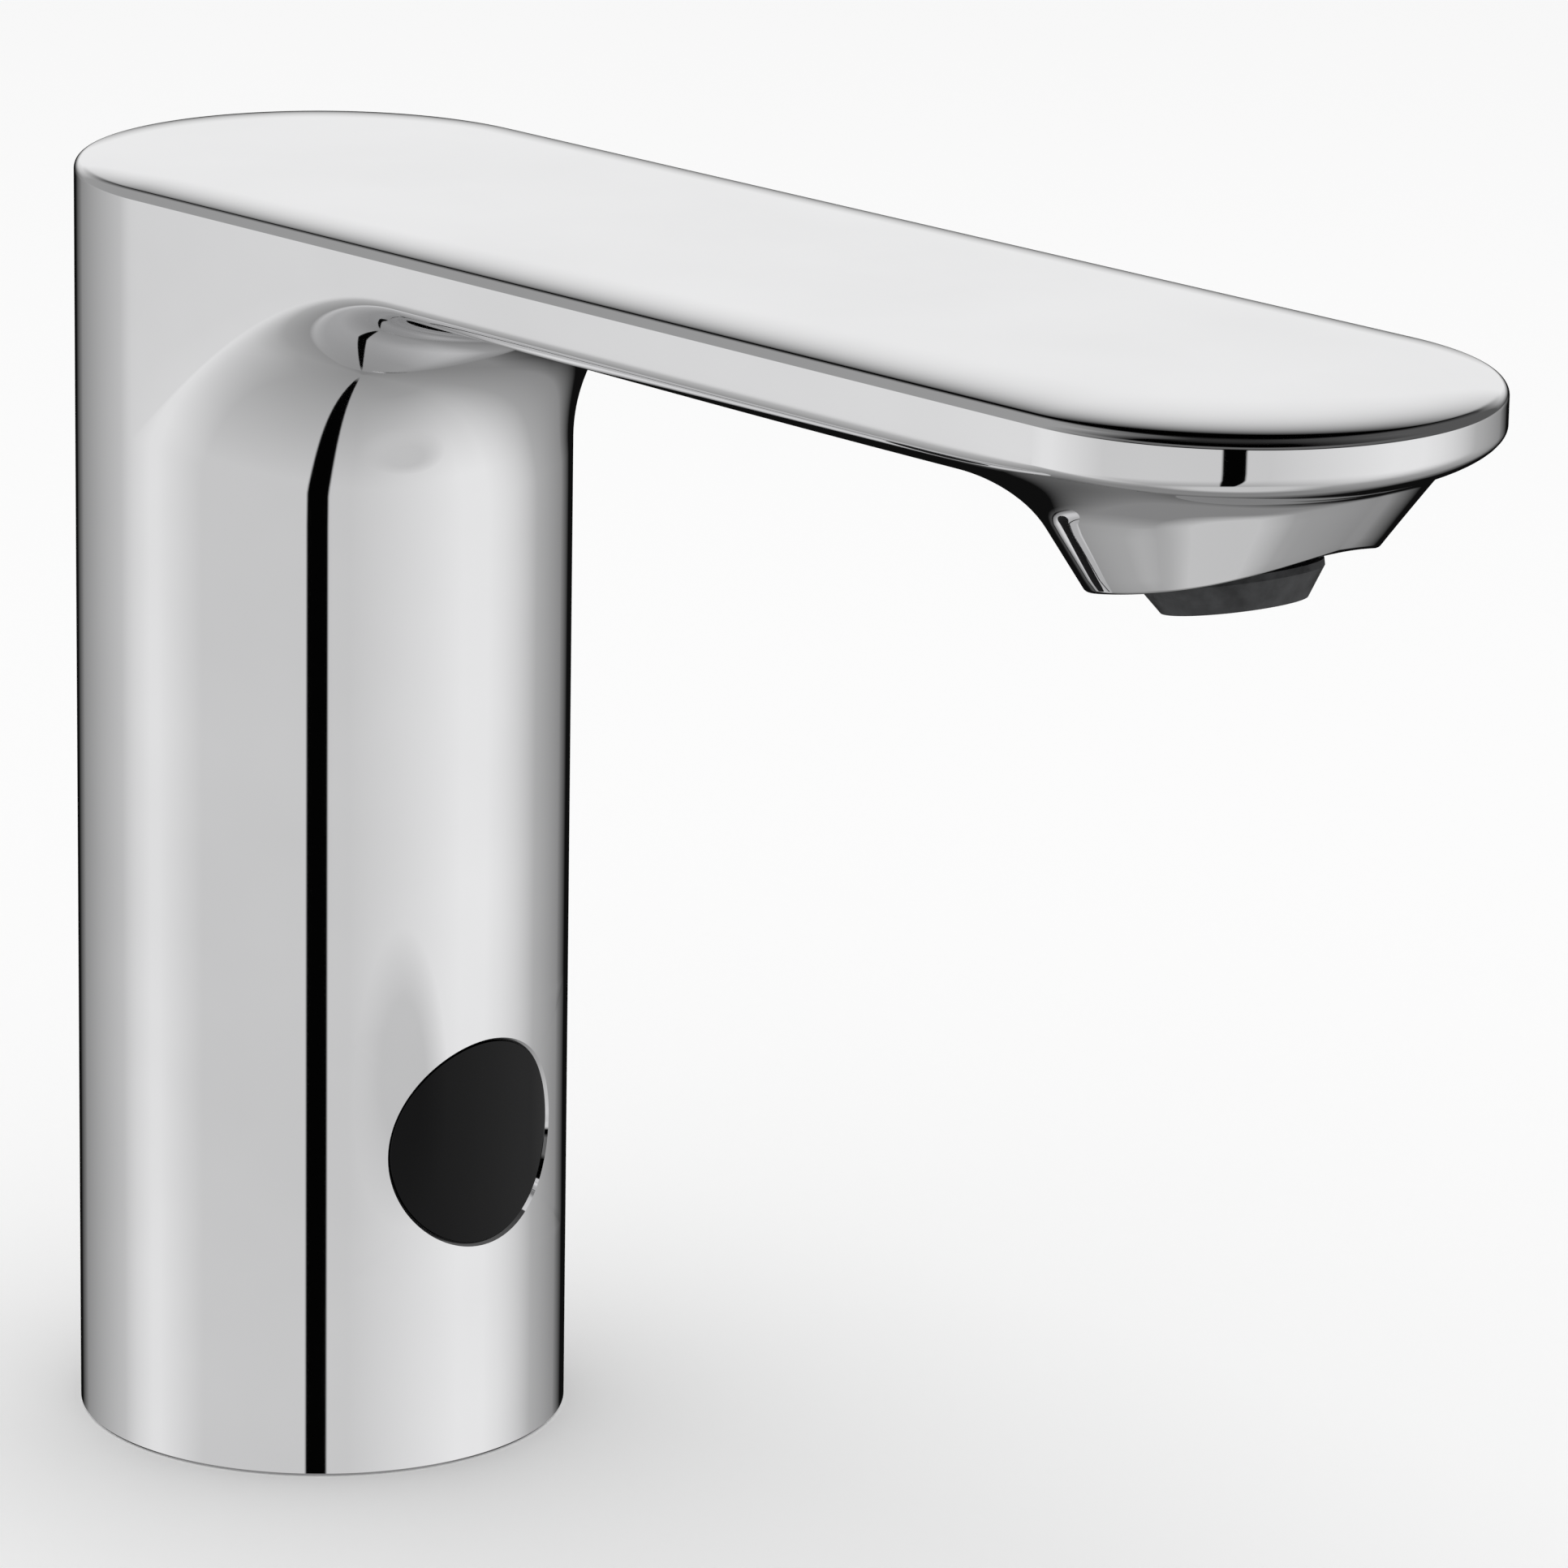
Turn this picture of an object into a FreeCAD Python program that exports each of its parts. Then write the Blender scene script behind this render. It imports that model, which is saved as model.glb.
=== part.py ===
import FreeCAD, Part
import math
import os
import re
import Sketcher

# Deck-standing sensor tap: a round column that carries a flat, round-ended spout.
# Millimetres. Origin on the column's axis in the plane of the deck, spout along +X, Z up.

SIZES = [
    # (alias, value, what it is)
    ("column_radius", 27.0, "outer radius of the column, and of both round ends of the spout"),
    ("tap_height", 141.4, "deck to the flat top of the spout"),
    ("nose_x", 134.0, "column axis to the centre of the spout's round end"),
    ("slab_thickness", 5.4, "height of the spout's vertical edge"),
    ("top_round", 1.2, "rounding of the spout's upper edge"),
    ("belly_depth", 4.9, "how far the underside of the spout bulges below its edge, at the column's axis"),
    ("belly_growth", 2.0, "how much deeper it is where it starts to fade"),
    ("belly_ledge", 0.1, "step from the spout's edge in to the bulge"),
    ("belly_nose_x", 118.0, "where the bulge starts to fade towards the tip"),
    ("root_fillet", 21.0, "radius between the column and the underside of the spout"),
    ("wall", 3.2, "wall of the column"),
    ("roof", 3.5, "thickness of the spout above the column's cavity"),
    ("boss_x", 135.0, "column axis to the middle of the outlet boss's mouth"),
    ("boss_drop", 19.3, "top of the spout down to the middle of the outlet boss's mouth"),
    ("boss_radius", 14.0, "radius of the outlet boss at its mouth"),
    ("boss_root_length", 43.0, "length of the outlet boss where it meets the spout"),
    ("boss_root_width", 42.6, "width of the outlet boss there"),
    ("boss_root_drop", 2.5, "depth of that outline below the spout's edge"),
    ("outlet_tilt", 15.5, "forward tilt of the outlet bore, degrees from straight down"),
    ("nozzle_tilt", 11.3, "forward tilt of the nozzle as it stands, degrees"),
    ("fit", 0.05, "radial clearance of pieces that slide together or plug in"),
    ("ball_gap", 0.25, "clearance between the nozzle's ball and its socket"),
    # foot
    ("gasket_height", 1.5, "thickness of the foot gasket"),
    ("gasket_lip", 0.9, "metal left outside the gasket"),
    ("gasket_width", 5.0, "radial width of the foot gasket"),
    ("plate_thickness", 5.0, "thickness of the base plate"),
    ("stud_x", 12.3, "column axis to the fixing stud's thread"),
    ("stud_core_radius", 3.4, "core radius of the M8 thread for the fixing stud"),
    ("stud_boss_radius", 6.0, "radius of the boss round that thread"),
    ("stud_boss_height", 3.0, "height of that boss above the plate"),
    ("lug_inset", 3.3, "column's inside to each base screw"),
    ("lug_radius", 3.6, "radius of the column's screw lugs"),
    ("lug_height", 12.0, "length of the column's screw lugs"),
    ("base_screw_radius", 1.5, "shank radius of the M3 base screws"),
    ("base_screw_reach", 10.0, "length of the shank"),
    ("screw_head_ratio", 1.8, "head radius over shank radius, all screws"),
    # water inlet and valve, all on one vertical axis
    ("valve_x", -3.5, "axis of the inlet, the valve and the solenoid"),
    ("inlet_core_radius", 4.55, "core radius of the M10x1 thread of the inlet"),
    ("inlet_thread_depth", 9.5, "depth of that thread"),
    ("connector_radius", 7.5, "outer radius of the inlet connector"),
    ("connector_flange_radius", 9.5, "radius of the flange on the base plate"),
    ("connector_flange_height", 2.5, "height of that flange"),
    ("connector_height", 12.5, "foot of the connector to its shoulder"),
    ("spigot_radius", 6.0, "radius of the spigot that plugs into the valve body"),
    ("spigot_height", 5.0, "length of that spigot"),
    ("passage_radius", 3.2, "radius of the water passage in the connector"),
    ("ring_section", 0.5, "section radius of the O-rings"),
    ("strainer_height", 0.6, "thickness of the inlet strainer"),
    ("strainer_hole_radius", 0.55, "radius of each hole of the strainer"),
    ("strainer_pitch", 1.6, "distance between those holes"),
    ("check_radius", 4.6, "outer radius of the check valve cartridge"),
    ("check_height", 8.0, "length of the check valve cartridge"),
    ("check_wall", 1.0, "wall of the cartridge"),
    ("check_seat_radius", 2.2, "radius of the hole that the poppet closes"),
    ("poppet_lift", 1.6, "travel of the check valve's poppet"),
    ("valve_radius", 12.0, "radius of the valve body and its cover"),
    ("valve_height", 17.0, "height of the valve body"),
    ("seat_radius", 5.4, "radius of the main valve seat"),
    ("annulus_radius", 8.6, "outer radius of the outlet groove round the seat"),
    ("annulus_depth", 5.0, "depth of that groove"),
    ("diaphragm_height", 1.0, "thickness of the rubber diaphragm"),
    ("diaphragm_radius", 9.0, "radius of the diaphragm"),
    ("insert_radius", 5.0, "radius of the plate on the diaphragm"),
    ("insert_height", 1.0, "thickness of that plate"),
    ("pilot_radius", 0.6, "radius of the pilot hole through diaphragm and plate"),
    ("diaphragm_lift", 0.8, "travel of the diaphragm's middle"),
    ("cover_height", 5.0, "height of the valve cover"),
    ("chamber_height", 2.6, "height of the pilot chamber under the cover"),
    ("chamber_radius", 7.6, "radius of the pilot chamber"),
    ("valve_screw_circle", 10.35, "radius of the circle of the valve screws"),
    ("valve_screw_radius", 0.9, "shank radius of the valve screws"),
    ("valve_screw_reach", 14.0, "length of the shank"),
    ("tube_radius", 4.0, "outer radius of the armature tube"),
    ("tube_wall", 0.6, "wall of the armature tube"),
    ("tube_height", 22.0, "length of the armature tube above the pilot chamber"),
    ("plunger_height", 13.0, "length of the plunger without its tip"),
    ("plunger_lift", 1.0, "travel of the plunger"),
    ("plunger_tip_radius", 1.2, "radius of the plunger's sealing tip"),
    ("tip_gap", 0.1, "running gap between the tip and the pilot seat as drawn"),
    ("core_height", 9.2, "length of the fixed core that closes the tube"),
    ("core_flange", 0.8, "thickness of the fixed core's flange on the tube"),
    ("coil_radius", 7.0, "outer radius of the winding"),
    ("bobbin_wall", 1.0, "thickness of the bobbin's barrel and flanges"),
    ("coil_flange", 0.4, "how far the bobbin's flanges stand out past the winding"),
    ("yoke_wall", 1.0, "thickness of the steel yoke"),
    ("magnet_height", 2.5, "thickness of the latching magnet"),
    ("deck_room", 1.1, "room between the magnet and the carrier's floor"),
    # hose
    ("hose_radius", 2.75, "outer radius of the hose"),
    ("hose_bore", 1.85, "inner radius of the hose"),
    ("hose_room", 1.65, "room between the hose and the column's inside"),
    ("hose_bend", 15.0, "radius of the hose's bend into the spout"),
    ("channel_drop", 6.7, "top of the spout down to the hose's run along it"),
    ("channel_radius", 3.0, "radius of the channel along the spout"),
    ("bush_x", 112.0, "where the hose ends on its bush"),
    ("bush_length", 9.0, "length of the bush beyond the hose"),
    ("barb_length", 8.0, "how far each stub reaches into the hose"),
    ("stub_height", 3.0, "height of the outlet stub under the hose"),
    ("clip_height", 3.0, "width of the hose clip"),
    ("clip_wall", 0.7, "thickness of the hose clip"),
    # outlet
    ("bore_radius", 10.2, "radius of the outlet bore in the boss"),
    ("bore_depth", 9.5, "depth of that bore along its axis"),
    ("recess_depth", 1.2, "depth from the mouth to the aerator housing"),
    ("housing_length", 7.8, "length of the aerator housing"),
    ("ball_height", 3.2, "mouth of the boss to the centre of the nozzle's ball"),
    ("ball_radius", 7.4, "radius of the nozzle's ball"),
    ("ball_cap", 2.4, "height of the ball above its centre"),
    ("flange_radius", 9.2, "radius of the nozzle's flange"),
    ("rim_radius", 7.25, "radius of the nozzle's lower rim"),
    ("nozzle_drop", 7.1, "ball centre to the nozzle's lower rim"),
    ("taper_height", 2.9, "height of the nozzle's tapered part"),
    ("flange_height", 0.7, "height of the nozzle's flange"),
    ("nozzle_bore", 5.7, "radius of the nozzle's bore"),
    ("straightener_height", 3.0, "thickness of the flow straightener"),
    ("straightener_set", 0.9, "how far it sits inside the rim"),
    ("jet_radius", 0.55, "radius of each hole of the straightener"),
    ("jet_pitch", 1.6, "distance between those holes"),
    ("regulator_radius", 6.2, "radius of the flow regulator"),
    ("regulator_height", 1.6, "thickness of the flow regulator"),
    # sensor
    ("window_z", 36.1, "deck to the centre of the sensor window"),
    ("window_radius", 11.3, "radius of the window's hole in the column"),
    ("window_recess", 0.25, "how far the window lies behind the column's face"),
    ("window_inset", 4.0, "column's inside to the window's flat back"),
    ("window_chamfer", 0.4, "chamfer round the window's hole"),
    ("sensor_depth", 9.5, "window's flat back to the back of the sensor housing"),
    ("sensor_radius", 12.2, "outer radius of the sensor housing"),
    ("sensor_wall", 1.4, "wall of the sensor housing"),
    ("seal_height", 0.5, "thickness of the window's gasket"),
    ("board_depth", 6.3, "window's flat back to the back of the circuit board"),
    ("board_thickness", 1.6, "thickness of the circuit board"),
    ("board_width", 17.0, "width of the circuit board"),
    ("board_height", 12.6, "height of the circuit board"),
    ("diode_radius", 2.5, "radius of the infrared emitter and receiver"),
    ("diode_length", 4.2, "length of the infrared emitter and receiver"),
    ("diode_y", 5.2, "middle of the window to each of them"),
    ("sensor_screw_y", 8.2, "middle of the window to each housing screw"),
    ("sensor_screw_radius", 0.9, "shank radius of the housing screws"),
    ("bracket_thickness", 1.2, "thickness of the carrier's sensor bracket"),
    # battery and carrier
    ("deck_thickness", 3.0, "thickness of the carrier's floor"),
    ("deck_gap", 1.0, "gap between the carrier's floor and the column"),
    ("leg_width", 5.0, "depth of the carrier's legs along the spout"),
    ("leg_thickness", 3.0, "thickness of the carrier's legs"),
    ("front_leg_y", 16.0, "column axis to the inside of the front legs"),
    ("back_leg_x", -14.0, "column axis to the back of the back legs"),
    ("back_leg_y", 14.2, "column axis to the inside of the back legs"),
    ("battery_depth", 19.5, "battery, along the spout"),
    ("battery_width", 35.0, "battery, across the spout"),
    ("battery_height", 36.0, "battery, upright"),
    ("battery_x", -1.2, "middle of the battery"),
    ("holder_wall", 1.2, "wall of the battery holder"),
    ("holder_gap", 0.2, "clearance of the battery in its holder"),
    ("holder_height", 30.0, "height of the battery holder"),
    ("contact_height", 2.0, "height of the battery contacts"),
    ("contact_size", 5.0, "side of each battery contact"),
    ("lead_radius", 0.9, "radius of the leads"),
    ("lead_inset", 8.8, "column's inside to the sensor's lead"),
]

DERIVED = {
    # heights and places that other pieces share, worked out from the sizes above
    "edge_z": "(tap_height - slab_thickness)",
    "boss_z": "(tap_height - boss_drop)",
    "channel_z": "(tap_height - channel_drop)",
    "cavity_radius": "(column_radius - wall)",
    "plate_top": "(gasket_height + plate_thickness)",
    "shoulder_z": "(gasket_height + connector_height)",
    "spigot_top": "(shoulder_z + spigot_height)",
    "seat_z": "(shoulder_z + valve_height)",
    "cover_z": "(seat_z + diaphragm_height)",
    "chamber_top": "(cover_z + chamber_height)",
    "cover_top": "(cover_z + cover_height)",
    "tube_top": "(chamber_top + tube_height)",
    "bobbin_height": "(tube_top + core_flange / 2 - cover_top - 2 * yoke_wall)",
    "yoke_radius": "(coil_radius + coil_flange + fit)",
    "deck_z": "(tube_top + core_flange + magnet_height + deck_room)",
    "holder_floor": "(deck_z + deck_thickness)",
    "holder_depth": "(battery_depth + 2 * holder_gap + 2 * holder_wall)",
    "holder_width": "(battery_width + 2 * holder_gap + 2 * holder_wall)",
    "hose_x": "(hose_radius + hose_room - cavity_radius)",
    "lug_y": "(cavity_radius - lug_inset)",
    "window_back": "(cavity_radius - window_inset)",
    "sensor_back": "(window_back - sensor_depth)",
    "board_x": "(window_back - board_depth)",
    "front_leg_x": "(sensor_back - leg_width)",
    "lead_x": "(cavity_radius - lead_inset)",
    "deck_radius": "(cavity_radius - deck_gap)",
}

doc = FreeCAD.newDocument("SensorTap")
sheet = doc.addObject("Spreadsheet::Sheet", "Sizes")
for row, (alias, value, note) in enumerate(SIZES, start=1):
    sheet.set("A%d" % row, note)
    sheet.set("B%d" % row, str(value))
    sheet.setAlias("B%d" % row, alias)
doc.recompute()
ALIASES = {alias for alias, value, note in SIZES}
nodes = []


def bound(text):
    """An expression in which every alias points at its cell."""
    def cell(word):
        if word[0] in DERIVED:
            return bound(DERIVED[word[0]])
        return "Sizes." + word[0] if word[0] in ALIASES else word[0]
    return re.sub(r"[a-z][a-z_0-9]*", cell, str(text))


def number(text):
    """The present value of such an expression."""
    return float(sheet.evalExpression(bound(text)))


def bind(item, **expressions):
    for name, text in expressions.items():
        item.setExpression(name, bound(text))
    return item


def place(item, x="0", y="0", z="0", axis=None, turn=None):
    """Put an item at a point given by expressions, turned about an axis."""
    if axis:
        item.Placement = FreeCAD.Placement(FreeCAD.Vector(), FreeCAD.Rotation(FreeCAD.Vector(*axis), 45))
        item.setExpression("Placement.Rotation.Angle", bound(turn))
    for name, text in (("x", x), ("y", y), ("z", z)):
        item.setExpression("Placement.Base." + name, bound(text))
    return item


ALONG_X = dict(axis=(0, 1, 0), turn="90")
TILTED = dict(axis=(0, -1, 0), turn="outlet_tilt")
ACROSS = FreeCAD.Rotation(FreeCAD.Vector(0, 1, 0), FreeCAD.Vector(0, 0, 1), FreeCAD.Vector(1, 0, 0))


def cylinder(name, radius, height, **where):
    item = bind(doc.addObject("Part::Cylinder", name), Radius=radius, Height=height)
    return place(item, **where)


def box(name, length, width, height, **where):
    item = bind(doc.addObject("Part::Box", name), Length=length, Width=width, Height=height)
    return place(item, **where)


def torus(name, ring, section, **where):
    item = bind(doc.addObject("Part::Torus", name), Radius1=ring, Radius2=section)
    return place(item, **where)


def fuse(name, *items):
    item = doc.addObject("Part::MultiFuse", name)
    item.Shapes = list(items)
    return item


def common(name, *items):
    item = doc.addObject("Part::MultiCommon", name)
    item.Shapes = list(items)
    return item


def cut(name, base, *tools):
    item = doc.addObject("Part::Cut", name)
    item.Base = base
    item.Tool = tools[0] if len(tools) == 1 else fuse(name + "_tools", *tools)
    return item


def group(name, *items):
    """Several separate solids that share one node."""
    item = doc.addObject("Part::Compound", name)
    item.Links = list(items)
    return item


def node(name, item):
    item.Label = name
    nodes.append(item)
    return item


def outline_sketch(body, name, plane, points):
    """A closed outline whose corners are bound to the sheet; points are expressions."""
    sketch = body.newObject("Sketcher::SketchObject", name)
    role = next(item for item in body.Origin.OriginFeatures if item.Role == plane)
    sketch.AttachmentSupport = (role, [""])
    sketch.MapMode = "FlatFace"
    corners = [FreeCAD.Vector(number(a), number(b), 0) for a, b in points]
    count = len(corners)
    for index in range(count):
        sketch.addGeometry(Part.LineSegment(corners[index], corners[(index + 1) % count]), False)
    for index in range(count):
        sketch.addConstraint(Sketcher.Constraint("Coincident", index, 2, (index + 1) % count, 1))
    for index, (a, b) in enumerate(points):
        for kind, axis, text in (("DistanceX", -2, a), ("DistanceY", -1, b)):
            if text == "0":
                sketch.addConstraint(Sketcher.Constraint("PointOnObject", index, 1, axis))
            else:
                held = sketch.addConstraint(Sketcher.Constraint(kind, -1, 1, index, 1, number(text)))
                sketch.setExpression("Constraints[%d]" % held, bound(text))
    return sketch


def turned(name, points, **where):
    """A piece turned on a lathe: its half outline as (radius, height)."""
    body = doc.addObject("PartDesign::Body", name)
    sketch = outline_sketch(body, name + "_outline", "XZ_Plane", points)
    revolution = body.newObject("PartDesign::Revolution", name + "_turned")
    revolution.Profile = sketch
    revolution.ReferenceAxis = (sketch, ["V_Axis"])
    revolution.Angle = 360
    return place(body, **where)


def spring(name, radius, wire, height, turns, x, z):
    """A helical spring as one unbroken wire, between flat ends."""
    free = number(height) - 2 * number(wire)
    helix = Part.makeHelix(free / turns, free, number(radius))
    start = helix.Edges[0].Vertexes[0].Point
    section = Part.Wire(Part.makeCircle(number(wire), start, FreeCAD.Vector(0, 1, 0)))
    item = doc.addObject("Part::Feature", name)
    item.Shape = Part.Wire(helix.Edges).makePipeShell([section], True, True)
    item.Placement.Base = FreeCAD.Vector(number(x), 0, number(z) + number(wire))
    return item


def root_blend():
    """Concave blend from the column's front to the underside: one profile per upright slice."""
    radius, fillet, edge = number("column_radius"), number("root_fillet"), number("edge_z")
    slices = []
    for degrees in range(-86, 87, 43):
        lean = math.radians(degrees)
        front, side = radius * math.cos(lean), radius * math.sin(lean)
        far = front + fillet
        depth = number("belly_depth + belly_growth * %.6f / belly_nose_x" % far)
        under = edge - depth * math.sqrt(1 - (side / radius) ** 2)
        corner = FreeCAD.Vector(far, side, under)
        foot = FreeCAD.Vector(front, side, under - fillet)
        middle = FreeCAD.Vector(far - fillet * math.sqrt(0.5), side, under - fillet + fillet * math.sqrt(0.5))
        inside = [FreeCAD.Vector(0, side, under - fillet), FreeCAD.Vector(0, side, edge + 1), FreeCAD.Vector(far, side, edge + 1)]
        slices.append(Part.Wire([
            Part.makeLine(inside[0], foot), Part.Arc(foot, middle, corner).toShape(), Part.makeLine(corner, inside[2]),
            Part.makeLine(inside[2], inside[1]), Part.makeLine(inside[1], inside[0])]))
    item = doc.addObject("Part::Feature", "root_blend")
    item.Shape = Part.makeLoft(slices, True, False)
    return item


def body_casting():
    """Column, spout and outlet boss in one hollow casting."""
    slab = doc.addObject("PartDesign::Body", "spout_slab")
    sketch = slab.newObject("Sketcher::SketchObject", "spout_plan")
    flat = next(item for item in slab.Origin.OriginFeatures if item.Role == "XY_Plane")
    sketch.AttachmentSupport = (flat, [""])
    sketch.MapMode = "FlatFace"
    radius, reach = number("column_radius"), number("nose_x")
    side = [FreeCAD.Vector(0, -radius, 0), FreeCAD.Vector(reach, -radius, 0)]
    other = [FreeCAD.Vector(reach, radius, 0), FreeCAD.Vector(0, radius, 0)]
    up = FreeCAD.Vector(0, 0, 1)
    nose = Part.Circle(FreeCAD.Vector(reach, 0, 0), up, radius)
    heel = Part.Circle(FreeCAD.Vector(0, 0, 0), up, radius)
    sketch.addGeometry(Part.LineSegment(*side), False)
    sketch.addGeometry(Part.ArcOfCircle(nose, -math.pi / 2, math.pi / 2), False)
    sketch.addGeometry(Part.LineSegment(*other), False)
    sketch.addGeometry(Part.ArcOfCircle(heel, math.pi / 2, 3 * math.pi / 2), False)
    for first, end, second, start in ((0, 2, 1, 1), (1, 2, 2, 1), (2, 2, 3, 1), (3, 2, 0, 1)):
        sketch.addConstraint(Sketcher.Constraint("Tangent", first, end, second, start))
    sketch.addConstraint(Sketcher.Constraint("Coincident", 3, 3, -1, 1))
    sketch.addConstraint(Sketcher.Constraint("PointOnObject", 1, 3, -1))
    held = sketch.addConstraint(Sketcher.Constraint("Radius", 3, radius))
    sketch.setExpression("Constraints[%d]" % held, bound("column_radius"))
    held = sketch.addConstraint(Sketcher.Constraint("DistanceX", -1, 1, 1, 3, reach))
    sketch.setExpression("Constraints[%d]" % held, bound("nose_x"))
    pad = bind(slab.newObject("PartDesign::Pad", "spout_pad"), Length="slab_thickness")
    pad.Profile = sketch
    doc.recompute()
    top = max(range(len(pad.Shape.Faces)), key=lambda index: pad.Shape.Faces[index].CenterOfMass.z)
    rounding = bind(slab.newObject("PartDesign::Fillet", "spout_rounding"), Radius="top_round")
    rounding.Base = (pad, ["Face%d" % (top + 1)])
    place(slab, z="edge_z")

    column = cylinder("column", "column_radius", "edge_z + top_round")

    # the underside: half an ellipse in section, a little deeper towards the tip, where it fades out
    half_width = "(column_radius - belly_ledge)"
    sections = []
    for name, depth, x in (("belly_start", "belly_depth", "0"), ("belly_end", "belly_depth + belly_growth", "belly_nose_x")):
        section = bind(doc.addObject("Part::Ellipse", name), MajorRadius=half_width, MinorRadius=depth)
        section.Placement.Rotation = ACROSS
        sections.append(place(section, x=x, z="edge_z"))
    straight = doc.addObject("Part::Loft", "belly_straight")
    straight.Sections = sections
    straight.Solid = True
    straight.Ruled = True
    fading = bind(doc.addObject("Part::Ellipsoid", "belly_nose"), Radius1="belly_depth + belly_growth",
                  Radius2="nose_x + column_radius - belly_ledge - belly_nose_x", Radius3=half_width)
    fading.Angle1, fading.Angle2, fading.Angle3 = -90, 90, 360
    place(fading, x="belly_nose_x", z="edge_z")
    below = "edge_z - 2 * belly_depth - belly_growth"
    halves = []
    for name, whole, x in (("belly_back", straight, "0"), ("belly_front", fading, "belly_nose_x")):
        limit = box(name + "_limit", "nose_x + column_radius", "2 * column_radius", "2 * belly_depth + belly_growth", x=x,
                    y="-column_radius", z=below)
        halves.append(common(name, whole, limit))

    # outlet boss: from a tilted round mouth up to a wider circle in the spout
    mouth = bind(doc.addObject("Part::Circle", "boss_mouth"), Radius="boss_radius")
    place(mouth, x="boss_x", z="boss_z", **TILTED)
    base = bind(doc.addObject("Part::Ellipse", "boss_root"), MajorRadius="boss_root_length / 2",
                MinorRadius="boss_root_width / 2")
    place(base, x="nose_x", z="edge_z - boss_root_drop")
    boss = doc.addObject("Part::Loft", "boss")
    boss.Sections = [mouth, base]
    boss.Solid = True
    boss.Ruled = True
    boss_core = bind(doc.addObject("Part::Extrusion", "boss_core"), LengthFwd="boss_root_drop + top_round")
    boss_core.Base = base
    boss_core.DirMode = "Normal"
    boss_core.Solid = True

    skin = fuse("skin", column, slab, root_blend(), boss, boss_core, *halves)

    cavity = cylinder("cavity", "cavity_radius", "tap_height - roof + 1", z="-1")
    lug_ring = []
    for side_name, y in (("left", "lug_y"), ("right", "-lug_y")):
        lug_ring.append(cylinder("lug_" + side_name, "lug_radius", "lug_height", y=y, z="plate_top"))
    lugs = common("lugs", fuse("lug_pair", *lug_ring), cylinder("lug_limit", "column_radius - wall / 2", "tap_height"))
    hollowed = fuse("hollowed", cut("hollow_body", skin, cavity), lugs)

    gasket_seat = cylinder("gasket_seat", "column_radius - gasket_lip", "gasket_height + 1", z="-1")
    channel = cylinder("channel", "channel_radius", "boss_x - bore_radius * 0.25", z="channel_z", **ALONG_X)
    bore = cylinder("outlet_bore", "bore_radius", "bore_depth + 3", x="boss_x + 3 * sin(outlet_tilt * 1 deg)",
                    z="boss_z - 3 * cos(outlet_tilt * 1 deg)", **TILTED)
    rise = cylinder("outlet_rise", "channel_radius * 0.9", "bore_depth + channel_radius * 0.9",
                    x="boss_x", z="boss_z", **TILTED)
    window = cylinder("window_hole", "window_radius", "column_radius + 5", z="window_z", **ALONG_X)
    screw_holes = [cylinder("lug_hole_" + side_name, "base_screw_radius + fit", "base_screw_reach", y=y, z="plate_top")
                   for side_name, y in (("left", "lug_y"), ("right", "-lug_y"))]
    return cut("body", hollowed, gasket_seat, channel, bore, rise, window, *screw_holes)


node("body_casting", body_casting())

# ---------------------------------------------------------------- foot
node("base_gasket", turned("gasket", [
    ("column_radius - gasket_lip - gasket_width", "0"), ("column_radius - gasket_lip - fit", "0"),
    ("column_radius - gasket_lip - fit", "gasket_height"),
    ("column_radius - gasket_lip - gasket_width", "gasket_height")]))


def base_plate():
    """Disc that closes the column's foot and takes the inlet, the stud and the screws."""
    disc = cylinder("plate_disc", "cavity_radius - fit * 4", "plate_thickness", z="gasket_height")
    boss = cylinder("plate_boss", "stud_boss_radius", "plate_thickness + stud_boss_height", x="stud_x", z="gasket_height")
    holes = [
        cylinder("stud_thread", "stud_core_radius", "plate_thickness + stud_boss_height + 2", x="stud_x"),
        cylinder("plate_inlet", "connector_radius + fit", "plate_thickness + gasket_height + 1", x="valve_x"),
    ]
    for side_name, y in (("left", "lug_y"), ("right", "-lug_y")):
        holes.append(cylinder("plate_screw_" + side_name, "base_screw_radius + fit", "plate_thickness + 2", y=y,
                              z="gasket_height - 1"))
        holes.append(cylinder("plate_head_" + side_name, "base_screw_radius * screw_head_ratio + fit * 4",
                              "plate_thickness / 2 + 1", y=y, z="gasket_height - 1"))
    return cut("plate", fuse("plate_solid", disc, boss), *holes)


node("base_plate", base_plate())


def base_screw(side_name, y):
    """Screw from under the plate up into a lug of the column."""
    head = cylinder("base_head_" + side_name, "base_screw_radius * screw_head_ratio", "plate_thickness / 2 - 0.3",
                    y=y, z="gasket_height + 0.3")
    shank = cylinder("base_shank_" + side_name, "base_screw_radius",
                     "plate_thickness + base_screw_reach - 1", y=y, z="gasket_height + 0.3")
    drive = cylinder("base_drive_" + side_name, "base_screw_radius * 0.8", "plate_thickness / 4", y=y, z="gasket_height")
    return cut("base_screw_" + side_name, fuse("base_blank_" + side_name, head, shank), drive)


node("base_screws", group("base_screw_pair", base_screw("left", "lug_y"), base_screw("right", "-lug_y")))

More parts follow.
